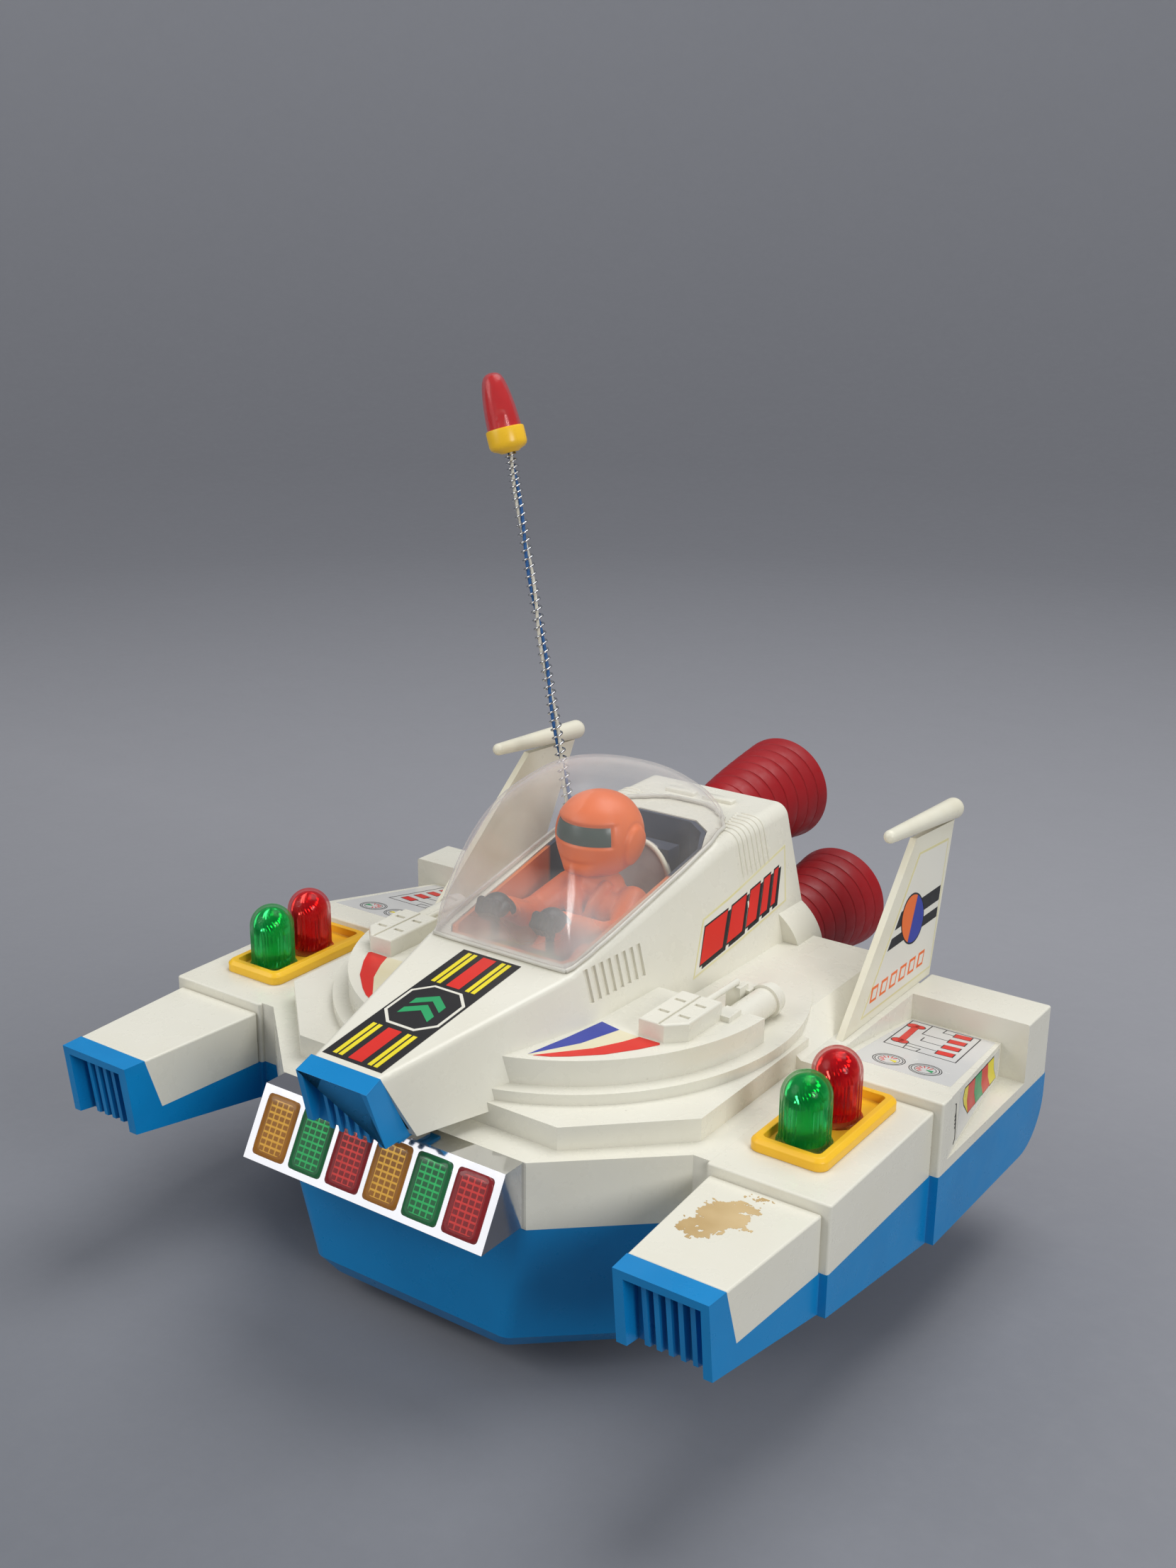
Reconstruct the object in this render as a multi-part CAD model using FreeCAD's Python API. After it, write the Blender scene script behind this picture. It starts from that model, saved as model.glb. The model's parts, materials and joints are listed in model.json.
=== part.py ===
"""Battery-operated patrol spacecraft toy that drives about on a turning wheel pod.

Millimetres, +Z up, front towards -Y.  The origin is on the floor under the middle of the toy.
Every moulding, lamp, gear, wheel and fastener is a solid of its own, one STEP file per node.
"""
import FreeCAD, Part
import math
import os

# ------------------------------------------------------------------ overall sizes
overall_width = 300.0        # across the two wing pods
nose_tip_y = -147.2          # front lip of the nose grille
nozzle_mouth_y = 147.2       # rear rims of the thruster nozzles
ride_height = 10.0           # floor to the flat bottom of the hull
parting_z = 64.6             # joint line between the white and the blue mouldings
wall = 2.0                   # moulded wall thickness
skin_gap = 0.3               # clearance between parts that move past each other
running_gap = 0.05           # radial clearance of a shaft in its bearing

# ------------------------------------------------------------------ wing pods
half_span = overall_width / 2
wing_tip_y = -142.2
front_step_y = -79.6         # front section meets the middle section
rear_step_y = -4.1           # middle section meets the rear section
wing_end_y = 94.4
tip_inset_out = 9.4          # outer faces, measured in from the widest section
front_inset_out = 6.1
middle_inset_out = 3.2
tip_inset_in = 43.1          # inner faces, measured in from the same place
front_inset_in = 47.5
middle_inset_in = 48.9
rear_inset_in = 50.3
front_top = 21.0             # heights of the white tops over the joint line
middle_top = 24.9
rear_top = 28.6
tip_depth = 6.8              # depths of the blue undersides under the joint line
front_depth = 15.3
middle_front_depth = 15.7
middle_rear_depth = 27.1
rear_front_depth = 26.8
rear_end_depth = 28.2
tip_bottom_setback = 3.3     # the grille's lower lip stands behind its upper lip
cap_top_length = 9.0         # blue cap on top of the wing tip
cap_bottom_length = 15.5
wing_tail_radius = 20.0
edge_round = 1.0             # small rounds on moulded edges
grille_depth = 8.5
grille_wall = 3.0
grille_fin = 1.8
grille_fin_gap = 4.3

# ------------------------------------------------------------------ instrument panels on the wings
panel_start_y = 2.0
panel_end_y = 72.4
panel_drop = 10.3            # fall of the sloping panel from front to rear
panel_inner_inset = 47.9
panel_side_lean = 10.5       # how far the panel's side leans in at its rear end
panel_ledge = 4.4            # ledge over the joint line below the leaning side

# ------------------------------------------------------------------ body
band_front_y = -114.5
band_side_y = -78.0
band_front_half = 54.1
band_side_half = 95.2
band_height = 24.9
step_front_y = -102.1
step_side_y = -69.0
step_front_half = 57.6
step_side_half = 92.5
step_height = 8.5
disc_y = -13.0
rim_radius = 91.0
rim_height = 4.0
platform_radius = 85.0
platform_height = 9.5
platform_end_y = -15.0       # the raised platform covers only the front of the disc
deck_rear_y = 83.0
deck_flat_half = 84.0
deck_shoulder_half = 94.5
step_rear_y = 5.0

# ------------------------------------------------------------------ moulded engine detail
case_x = 56.5
case_width = 16.6
case_front_y = -53.0
case_length = 28.0
case_height = 7.0
case_chamfer = 6.3
barrel_x = 73.8
barrel_radius = 5.5
barrel_front_y = -17.5
barrel_length = 24.0

# ------------------------------------------------------------------ hull
hull_bottom_half = 39.0
hull_bottom_front_y = -110.5
hull_bottom_side_half = 81.0
hull_bottom_side_y = -75.0
hull_rear_half = 80.0
hull_chamfer = 7.0
hull_front_round = 9.0

# ------------------------------------------------------------------ nose and cabin
nose_under_z = 94.7
nose_start_y = -139.9
rim_front_y = -59.0
rim_rear_y = 38.0
cabin_rear_y = 89.0
nose_top_z = 118.2
rim_front_z = 129.8
rim_rear_z = 151.6
cabin_top_z = 153.0
nose_top_half = 14.9
nose_base_half = 16.9
rim_front_half = 32.6
rim_rear_half = 34.5
cabin_rear_half = 33.5
rim_front_base = 42.8
rim_rear_base = 46.0
cabin_rear_base = 47.0
nose_edge_round = 2.5
cabin_edge_round = 6.0
vent_count = 8
vent_pitch = 4.3
vent_width = 2.4
vent_low_z = 117.8
vent_height = 12.0
vent_depth = 1.0
vent_first_y = -53.5

# ------------------------------------------------------------------ nose grille
nose_cap_top_length = 7.3
nose_cap_bottom_length = 12.0
nose_cap_bottom_setback = 6.5
nose_cap_wall = 2.6
nose_cap_depth = 9.0
nose_fin_count = 5

# ------------------------------------------------------------------ light bar
bar_half = 53.2
bar_top_y = -124.0
bar_bottom_y = -137.0
bar_bottom_z = 66.0
bar_wall = 1.8
lens_count = 6
lens_width = 14.2
lens_height = 21.5
lens_round = 3.0
lens_thickness = 2.6
lens_recess = 0.5

# ------------------------------------------------------------------ beacon lamps on the wings
tray_front_y = -64.4
tray_length = 56.0
tray_width = 28.6
tray_height = 4.6
tray_bevel = 1.4
tray_rim = 2.2
tray_floor = 1.2
green_dome_y = -51.0
red_dome_y = -29.5
dome_radius = 8.8
dome_height = 26.0
dome_wall = 1.2
dome_flange = 0.8
bulb_radius = 3.0

# ------------------------------------------------------------------ canopy, cockpit and driver
canopy_thickness = 1.5
canopy_rise = 51.0
canopy_rear_y = 68.0
tub_floor_z = 104.0
tub_wall = 1.5
helmet_radius = 17.0
helmet_y = 4.0
helmet_z = 158.0
glove_y = -45.0
glove_z = 140.0
glove_half = 12.5

# ------------------------------------------------------------------ thruster nozzles
nozzle_root_radius = 13.5
nozzle_mouth_radius = 22.9
nozzle_rings = 8
nozzle_wall = 1.6
nozzle_step = 0.7
upper_nozzle_z = 138.0
lower_nozzle_z = 93.0
lower_nozzle_x = 30.4
boss_radius = 23.4
boss_length = 19.0
nozzle_spigot = 8.0

# ------------------------------------------------------------------ fins
fin_thickness = 2.8
fin_base_front_y = 18.5
fin_base_rear_y = 93.0
fin_top_front_y = 82.0
fin_top_rear_y = 117.0
fin_height = 60.0
fin_lean = 4.3               # degrees, top towards the middle of the toy
fin_inset = 52.0             # foot of the fin, in from the widest section
torpedo_length = 64.5
torpedo_front_radius = 2.6
torpedo_rear_radius = 4.3
torpedo_tilt = 4.4

# ------------------------------------------------------------------ antenna
antenna_x = -50.5
antenna_y = 64.0
antenna_lean = 11.9          # degrees towards -X
spring_radius = 2.6
spring_bore = 2.1
spring_length = 184.6
spring_parts = 3
lead_radius = 0.7
socket_radius = 5.0
socket_height = 6.0
lamp_cap_radius = 8.0
lamp_cap_height = 9.2
lamp_lens_radius = 7.1
lamp_lens_height = 22.6
lamp_tip_radius = 4.4

# ------------------------------------------------------------------ drive
pod_y = -62.0
pod_radius = 32.5
pod_flange_radius = 35.5
pod_floor = 3.3
pod_flange = 2.0
drive_wheel_radius = 16.0
drive_wheel_width = 8.0
drive_wheel_x = 17.0
tyre_thickness = 2.6
axle_radius = 1.5
fork_thickness = 2.0
gear_module = 0.8
pinion_teeth = 10
wheel_teeth = 30
gear_face = 4.0
crown_module = 0.7
crown_pinion_teeth = 12
crown_teeth = 36
crown_tooth = 0.7
collar_length = 1.2
gearbox_radius = 44.0
plate_thickness = 2.0
gearbox_gap = 0.5
gearbox_height = 13.3
post_radius = 3.0
post_circle = 40.5
motor_radius = 12.0
motor_length = 25.0
shaft_radius = 1.0

# ------------------------------------------------------------------ rear wheels
rear_axle_y = 52.0
rear_wheel_x = 60.0
rear_wheel_radius = 16.0
rear_wheel_width = 8.0
well_gap = 2.0
well_wall = 1.5

# ------------------------------------------------------------------ power
cell_radius = 13.0
cell_length = 50.0
cell_count = 3
contact_length = 3.0
battery_y = 8.0
door_length = 54.0
door_thickness = 2.0
door_tongue = 2.0
switch_x = -62.0
switch_y = -30.0
switch_travel = 6.0
speaker_x = 60.0
speaker_y = -36.0
speaker_radius = 17.0
speaker_depth = 8.0
board_x = -62.0
board_y = 0.0
screw_x = 72.0
screw_front_y = -60.0
screw_rear_y = 24.0
screw_radius = 1.4
screw_head_radius = 2.8

# ------------------------------------------------------------------ places worked out from the sizes
rear_inner = half_span - rear_inset_in
middle_inner = half_span - middle_inset_in
front_top_z = parting_z + front_top
middle_top_z = parting_z + middle_top
rear_top_z = parting_z + rear_top
band_z = parting_z + band_height
step_z = band_z + step_height
rim_z = step_z + rim_height
platform_z = rim_z + platform_height
deck_z = rim_z - 0.5
hull_inner_z = ride_height + wall
column_z = parting_z + 1.0
screw_seat_z = parting_z - 22.0
shoulder_half = rear_inner + wall
axle_z = drive_wheel_radius
rear_axle_z = rear_wheel_radius
crown_pitch = crown_module * crown_teeth / 2
crown_pinion_pitch = crown_module * crown_pinion_teeth / 2
crown_face_x = crown_pinion_pitch + 1.3
gear_distance = gear_module * (pinion_teeth + wheel_teeth) / 2
pod_bottom_z = ride_height - 1.0
pod_top_z = axle_z + crown_pitch + 7.0
gearbox_z = pod_top_z + gearbox_gap
first_mesh_z = gearbox_z + plate_thickness + 1.0
second_mesh_z = first_mesh_z + gear_face + 1.6
gearbox_top_z = gearbox_z + plate_thickness + gearbox_height
compound_x = gear_distance
motor_y = pod_y + gear_distance
post_angles = (30.0, 150.0, 270.0)
tub_floor_top_z = tub_floor_z + tub_wall
cell_half_width = cell_radius * cell_count + 1.0
door_half = cell_half_width + 1.0
door_front_y = battery_y - door_length / 2

X_AXIS = FreeCAD.Vector(1, 0, 0)
Y_AXIS = FreeCAD.Vector(0, 1, 0)
Z_AXIS = FreeCAD.Vector(0, 0, 1)
ORIGIN = FreeCAD.Vector(0, 0, 0)


# ================================================================== building blocks
def vec(x, y, z):
    return FreeCAD.Vector(x, y, z)


def face_of(points):
    """A planar face through the points, closed back to the first."""
    return Part.Face(Part.makePolygon(points + [points[0]]))


def plan_prism(outline, low, high):
    """An outline in x and y, raised from one height to another."""
    points = [vec(x, y, low) for x, y in outline]
    return face_of(points).extrude(vec(0, 0, high - low))


def side_prism(outline, left, right):
    """An outline in y and z, drawn out across x."""
    points = [vec(left, y, z) for y, z in outline]
    return face_of(points).extrude(vec(right - left, 0, 0))


def front_prism(outline, front, rear):
    """An outline in x and z, drawn out along y."""
    points = [vec(x, front, z) for x, z in outline]
    return face_of(points).extrude(vec(0, rear - front, 0))


def block(x0, x1, y0, y1, z0, z1):
    return Part.makeBox(x1 - x0, y1 - y0, z1 - z0, vec(x0, y0, z0))


def upright(radius, height, x, y, z):
    return Part.makeCylinder(radius, height, vec(x, y, z), Z_AXIS)


def crosswise(radius, length, x, y, z):
    return Part.makeCylinder(radius, length, vec(x, y, z), X_AXIS)


def lengthwise(radius, length, x, y, z):
    return Part.makeCylinder(radius, length, vec(x, y, z), Y_AXIS)


def rod(start, end, radius):
    """A round bar with ball ends."""
    run = end.sub(start)
    bar = Part.makeCylinder(radius, run.Length, start, run)
    return joined([bar, Part.makeSphere(radius, start), Part.makeSphere(radius, end)])


def ring(outer, inner, height, x, y, z):
    return upright(outer, height, x, y, z).cut(upright(inner, height, x, y, z))


def joined(shapes):
    result = shapes[0]
    if len(shapes) > 1:
        result = shapes[0].multiFuse(shapes[1:])
    return result.removeSplitter()


def mirrored(shape):
    return shape.mirror(ORIGIN, X_AXIS)


def on_both_sides(shapes):
    return shapes + [mirrored(shape) for shape in shapes]


def turned(shape, centre, axis, degrees):
    copy = shape.copy()
    copy.rotate(centre, axis, degrees)
    return copy


def rounded(shape, radius, chosen):
    """Rounds the edges that the test picks."""
    edges = [edge for edge in shape.Edges if chosen(edge)]
    return shape.makeFillet(radius, edges)


def upright_edge(edge):
    run = edge.tangentAt(edge.FirstParameter)
    return abs(run.z) > 0.99


def edge_at_height(z):
    def chosen(edge):
        box = edge.BoundBox
        return abs(box.ZMin - z) < 0.01 and abs(box.ZMax - z) < 0.01
    return chosen


def turned_profile(points):
    """A solid of revolution about Z from radius and height pairs."""
    return face_of([vec(r, 0, z) for r, z in points]).revolve(ORIGIN, Z_AXIS, 360)


def dome_shape(radius, height):
    """A round-nosed dome standing on the origin."""
    straight = height - radius
    arc = Part.Arc(vec(radius, 0, straight),
                   vec(radius * math.sin(math.pi / 4), 0, straight + radius * math.cos(math.pi / 4)),
                   vec(0, 0, height)).toShape()
    sides = Part.makePolygon([vec(0, 0, height), ORIGIN, vec(radius, 0, 0), vec(radius, 0, straight)])
    wire = Part.Wire([arc] + sides.Edges)
    return Part.Face(wire).revolve(ORIGIN, Z_AXIS, 360)


def spur_gear(module, teeth, face, phase):
    """A straight-toothed gear about Z, with a tooth centred on the phase angle in degrees."""
    pitch = module * teeth / 2
    root = pitch - 1.25 * module
    tip = pitch + 0.95 * module
    root_half = 0.62 * math.pi / teeth
    pitch_half = 0.43 * math.pi / teeth
    tip_half = 0.20 * math.pi / teeth
    points = []
    for tooth in range(teeth):
        middle = math.radians(phase) + 2 * math.pi * tooth / teeth
        flank = [(root, -root_half), (pitch, -pitch_half), (tip, -tip_half),
                 (tip, tip_half), (pitch, pitch_half), (root, root_half)]
        for radius, offset in flank:
            points.append((radius * math.cos(middle + offset), radius * math.sin(middle + offset)))
    return plan_prism(points, 0.0, face)


def export(name, shape):
    """Writes one node, a single solid where it has only one."""
    solids = shape.Solids
    result = solids[0] if len(solids) == 1 else Part.makeCompound(solids)
    if not result.isValid():
        print("not valid:", name)
    result.exportStep("parts/" + name + ".step")
    print(name, len(solids), round(shape.Volume, 1))


# ================================================================== wing pods
def wing_plan(inset):
    """Outlines of the three pod sections seen from above, shrunk by the inset."""
    front = [(half_span - tip_inset_in + inset, wing_tip_y), (half_span - tip_inset_out - inset, wing_tip_y),
             (half_span - front_inset_out - inset, front_step_y + inset),
             (half_span - front_inset_in + inset, front_step_y + inset)]
    middle = [(middle_inner + inset, front_step_y + inset),
              (half_span - middle_inset_out - inset, front_step_y + inset),
              (half_span - middle_inset_out - inset, rear_step_y + inset),
              (middle_inner + inset, rear_step_y + inset)]
    rear = [(rear_inner + inset, rear_step_y + inset), (half_span - inset, rear_step_y + inset),
            (half_span - inset, wing_end_y - inset), (rear_inner + inset, wing_end_y - inset)]
    return front, middle, rear


def wing_slab(plan, side, round_top):
    """A pod section: its plan cut to its side view."""
    low = min(z for y, z in side) - 1
    high = max(z for y, z in side) + 1
    column = plan_prism(plan, low, high)
    if round_top:
        column = rounded(column, edge_round, upright_edge)
    slab = column.common(side_prism(side, min(x for x, y in plan) - 1, max(x for x, y in plan) + 1))
    if round_top:
        slab = rounded(slab, edge_round * 0.8, edge_at_height(max(z for y, z in side)))
    return slab


def cap_line(z):
    """Where the blue tip cap meets the white top, at a height."""
    share = (z - parting_z) / front_top
    bottom = wing_tip_y + cap_bottom_length
    return bottom + (wing_tip_y + cap_top_length - bottom) * share


def wing_top(inset):
    """White upper half of a pod."""
    plans = wing_plan(inset)
    low = parting_z - (1.0 if inset else 0.0)
    tops = [front_top_z - inset, middle_top_z - inset, rear_top_z - inset]
    front_side = [(cap_line(parting_z) + inset, low), (cap_line(front_top_z) + inset, tops[0]),
                  (front_step_y + inset, tops[0]), (front_step_y + inset, low)]
    middle_side = [(front_step_y + inset, low), (front_step_y + inset, tops[1]),
                   (rear_step_y + inset, tops[1]), (rear_step_y + inset, low)]
    rear_side = [(rear_step_y + inset, low), (rear_step_y + inset, tops[2]),
                 (wing_end_y - inset, tops[2]), (wing_end_y - inset, low)]
    sections = []
    for plan, side in zip(plans, (front_side, middle_side, rear_side)):
        sections.append(wing_slab(plan, side, not inset))
    return joined(sections)


def panel_recess(inset):
    """What is cut from the rear section to leave the sloping instrument panel."""
    low_z = rear_top_z - panel_drop
    inner = half_span - panel_inner_inset
    over = half_span + 5
    near, far = panel_start_y - inset, panel_end_y + inset
    over_panel = [(near, rear_top_z - inset), (far, low_z - inset), (far, rear_top_z + 1), (near, rear_top_z + 1)]
    top_cut = side_prism(over_panel, inner - inset, over)
    ledge_z = parting_z + panel_ledge - inset
    beside = [(half_span - inset, near), (half_span - panel_side_lean - inset, far), (over, far), (over, near)]
    side_cut = plan_prism(beside, ledge_z, rear_top_z + 1)
    return top_cut.fuse(side_cut)


def wing_under_sides(inset):
    """Side views of the blue undersides, open at the joint line."""
    high = parting_z + (1.0 if inset else 0.0)
    bottom = parting_z + inset
    front = [(wing_tip_y + grille_depth + 2 * inset, high),
             (wing_tip_y + grille_depth + 2 * inset, bottom - tip_depth - 1.5),
             (front_step_y + inset, bottom - front_depth), (front_step_y + inset, high)]
    middle = [(front_step_y + inset, high), (front_step_y + inset, bottom - middle_front_depth),
              (rear_step_y + inset, bottom - middle_rear_depth), (rear_step_y + inset, high)]
    rear = [(rear_step_y + inset, high), (rear_step_y + inset, bottom - rear_front_depth),
            (wing_end_y - inset, bottom - rear_end_depth), (wing_end_y - inset, high)]
    return front, middle, rear


def wing_under(inset):
    """Blue lower half of a pod, with the tip cap when solid."""
    plans = wing_plan(inset)
    front, middle, rear = wing_under_sides(inset)
    if not inset:
        front = [(wing_tip_y, front_top_z), (wing_tip_y + tip_bottom_setback, parting_z - tip_depth),
                 (front_step_y, parting_z - front_depth), (front_step_y, parting_z),
                 (cap_line(parting_z), parting_z), (cap_line(front_top_z), front_top_z)]
    sections = [wing_slab(plan, side, False) for plan, side in zip(plans, (front, middle, rear))]
    tail = sections[2]

    def tail_edge(edge):
        box = edge.BoundBox
        return box.YMin > wing_end_y - inset - 0.01 and box.ZMax < parting_z - rear_end_depth + inset + 0.01

    sections[2] = rounded(tail, wing_tail_radius - inset, tail_edge)
    return joined(sections)


def wing_grille():
    """Hollow in the front of a tip cap, and the fins that stand in it."""
    inner = half_span - tip_inset_in + grille_wall + 0.6
    outer = half_span - tip_inset_out - grille_wall
    roof = front_top_z - grille_wall
    floor = parting_z - front_depth
    hollow = side_prism([(wing_tip_y - 1, roof), (wing_tip_y - 1, floor),
                         (wing_tip_y + grille_depth + 2, floor), (wing_tip_y + grille_depth, roof)], inner, outer)
    fins = []
    count = int((outer - inner) / grille_fin_gap) - 1
    for index in range(count):
        x = outer - (index + 1) * grille_fin_gap
        outline = [(wing_tip_y + 4.0, roof + 1), (wing_tip_y + 7.5, parting_z - tip_depth - 0.4),
                   (wing_tip_y + grille_depth + 2.3, parting_z - tip_depth - 1.2),
                   (wing_tip_y + grille_depth + 0.3, roof + 1)]
        fins.append(side_prism(outline, x - grille_fin, x))
    return hollow, fins


# ================================================================== body
def body_plans(inset):
    """Outlines of the lower band and the step over it."""
    band = [(band_front_half, band_front_y), (band_side_half, band_side_y), (shoulder_half, band_side_y),
            (shoulder_half, deck_rear_y)]
    step = [(step_front_half, step_front_y), (step_side_half, step_side_y),
            (step_side_half, step_rear_y)]
    results = []
    for outline in (band, step):
        moved = []
        for index, (x, y) in enumerate(outline):
            shift = inset if index < len(outline) - 1 else -inset
            moved.append((x - inset * (0.6 if index == 0 else 1.0), y + shift))
        results.append(moved + [(-x, y) for x, y in reversed(moved)])
    return results


def cabin_wire(y, half_base, base, half_top, top, corner):
    """A rounded trapezium across the nose or the cabin."""
    lean = math.atan2(half_base - half_top, top - base)
    reach = corner * math.tan((math.pi / 2 - lean) / 2)
    roof_x = half_top - reach
    side_x = half_top + reach * math.sin(lean)
    side_z = top - reach * math.cos(lean)
    centre = vec(roof_x, y, top - corner)
    middle = centre.add(vec(half_top, y, top).sub(centre).normalize().multiply(corner))
    edges = []
    right = [vec(side_x, y, side_z), middle, vec(roof_x, y, top)]
    left = [vec(-p.x, y, p.z) for p in right]
    edges.append(Part.makeLine(vec(-half_base, y, base), vec(half_base, y, base)))
    edges.append(Part.makeLine(vec(half_base, y, base), right[0]))
    edges.append(Part.Arc(right[0], right[1], right[2]).toShape())
    edges.append(Part.makeLine(right[2], left[2]))
    edges.append(Part.Arc(left[2], left[1], left[0]).toShape())
    edges.append(Part.makeLine(left[0], vec(-half_base, y, base)))
    return Part.Wire(edges)


def cabin_form(inset):
    """Nose wedge and cabin, lofted through four sections."""
    low = nose_under_z + (inset if inset else 0.0)
    stations = [(nose_start_y, nose_base_half, nose_top_half, nose_top_z, nose_edge_round),
                (rim_front_y, rim_front_base, rim_front_half, rim_front_z, nose_edge_round),
                (rim_rear_y, rim_rear_base, rim_rear_half, rim_rear_z, cabin_edge_round),
                (cabin_rear_y - inset, cabin_rear_base, cabin_rear_half, cabin_top_z, cabin_edge_round)]
    wires = []
    for y, base_half, top_half, top, corner in stations:
        wires.append(cabin_wire(y, base_half - inset, low, top_half - inset, top - inset, corner - inset * 0.5))
    pieces = []
    for first, second in zip(wires[:-1], wires[1:]):
        pieces.append(Part.makeLoft([first, second], True, True))
    return joined(pieces)


def rim_height_at(y):
    """Height of the canopy rim at a place along the cabin."""
    share = (y - rim_front_y) / (rim_rear_y - rim_front_y)
    if share > 1:
        tail = (y - rim_rear_y) / (cabin_rear_y - rim_rear_y)
        return rim_rear_z + (cabin_top_z - rim_rear_z) * tail
    return rim_front_z + (rim_rear_z - rim_front_z) * share


def disc_forms(inset):
    """Rim, raised platform and rear deck."""
    low = parting_z + 1
    rim = upright(rim_radius - inset, rim_z - inset - low, 0, disc_y, low)
    platform = upright(platform_radius - inset, platform_z - inset - low, 0, disc_y, low)
    platform = platform.cut(block(-200, 200, platform_end_y - inset, 200, low - 1, platform_z + 5))
    edge = shoulder_half - inset
    profile = [(edge, low), (edge, rear_top_z - inset), (deck_shoulder_half - 0.6 * inset, rear_top_z - inset),
               (deck_flat_half - 0.6 * inset, deck_z - inset)]
    profile = profile + [(-x, z) for x, z in reversed(profile)]
    deck = front_prism(profile, rear_step_y + inset, deck_rear_y - inset)
    return [rim.common(block(-200, 200, -200, deck_rear_y - inset, 0, 300)), platform, deck]


def side_engines():
    """Moulded detail on the platform: a chamfered case, and a barrel with a collar behind it."""
    top = platform_z + case_height
    outline = [(case_x, case_front_y), (case_x + case_width - case_chamfer, case_front_y),
               (case_x + case_width, case_front_y + case_chamfer),
               (case_x + case_width, case_front_y + case_length), (case_x, case_front_y + case_length)]
    case = rounded(plan_prism(outline, platform_z - 1, top), edge_round * 0.8, edge_at_height(top))
    middle = case_x + case_width / 2
    case = case.cut(block(middle - 0.5, middle + 0.5, case_front_y - 1, case_front_y + case_length + 1,
                          top - 0.6, top + 1))
    for x in (middle - case_width / 4, middle + case_width / 4):
        for y in (case_front_y + case_length * 0.34, case_front_y + case_length * 0.72):
            case = case.cut(block(x - 2.2, x + 2.2, y - 0.8, y + 0.8, top - 0.9, top + 1))
    axis_z = rim_z + barrel_radius
    rear_y = barrel_front_y + barrel_length
    bevel = Part.makeCone(barrel_radius * 0.7, barrel_radius, 2.0, vec(barrel_x, barrel_front_y - 2.0, axis_z), Y_AXIS)
    barrel = lengthwise(barrel_radius, barrel_length, barrel_x, barrel_front_y, axis_z)
    collar = lengthwise(barrel_radius + 1.1, 2.4, barrel_x, rear_y - 2.4, axis_z)
    tail = lengthwise(barrel_radius + 0.5, 3.0, barrel_x, rear_y, axis_z)
    neck = block(barrel_x - 3, barrel_x + 3, case_front_y + case_length - 1, barrel_front_y, rim_z - 1, platform_z + 2)
    pipe = lengthwise(1.2, rear_y - case_front_y - case_length - 6, case_x + 8.5,
                      case_front_y + case_length - 1, platform_z + 3.6)
    steps = [block(case_x + 5.5, case_x + 11.5, rear_y - 10, rear_y - 4, rim_z - 1, platform_z + 2.5),
             block(case_x + 7.0, case_x + 13.0, rear_y - 6, rear_y + 1, rim_z - 1, platform_z + 0.5)]
    engine = joined([case, barrel, bevel, collar, tail, neck, pipe] + steps)
    engine = engine.cut(block(0, 200, -200, 200, 0, rim_z - 0.5))
    return on_both_sides([engine])


def nozzle_bosses(inset):
    """Round housings on the rear deck behind which the lower nozzles stand."""
    bosses = []
    for x in (-lower_nozzle_x, lower_nozzle_x):
        start = cabin_rear_y - boss_length + inset
        bosses.append(lengthwise(boss_radius - inset, boss_length - 2 * inset, x, start, lower_nozzle_z))
    return bosses


def nozzle_places():
    return {"upper": (0.0, upper_nozzle_z), "lower_left": (-lower_nozzle_x, lower_nozzle_z),
            "lower_right": (lower_nozzle_x, lower_nozzle_z)}


def spigot_radius():
    return nozzle_root_radius - 3.0


def cockpit_outline(inset):
    """Opening under the canopy, seen from above."""
    front_half = rim_front_half - 4.5 - inset
    rear_half = rim_rear_half - 5.0 - inset
    points = [(front_half - 3, rim_front_y + 4 + inset), (front_half, rim_front_y + 8 + inset),
              (rear_half, rim_rear_y - 8), (rear_half - 6, rim_rear_y + 6 - inset),
              (rear_half - 16, rim_rear_y + 14 - inset)]
    return points + [(-x, y) for x, y in reversed(points)]


def cabin_side_x(y, z):
    """Half-width of the cabin's flank at a place."""
    share = (y - rim_front_y) / (rim_rear_y - rim_front_y)
    top_half = rim_front_half + (rim_rear_half - rim_front_half) * share
    base_half = rim_front_base + (rim_rear_base - rim_front_base) * share
    top = rim_height_at(y)
    return base_half + (top_half - base_half) * (z - nose_under_z) / (top - nose_under_z)


def vents():
    """Upright slots sunk in the cabin's flank."""
    cuts = []
    for index in range(vent_count):
        y = vent_first_y + index * vent_pitch
        low = vent_low_z
        top = low + vent_height
        lean_top = cabin_side_x(y, top)
        lean_low = cabin_side_x(y, low)
        outline = [(lean_low - vent_depth, low), (lean_low + 3, low), (lean_top + 3, top),
                   (lean_top - vent_depth, top)]
        cuts.append(front_prism(outline, y, y + vent_width))
    return on_both_sides(cuts)


def screw_places():
    return [(sign * screw_x, y) for sign in (-1, 1) for y in (screw_front_y, screw_rear_y)]


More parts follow.
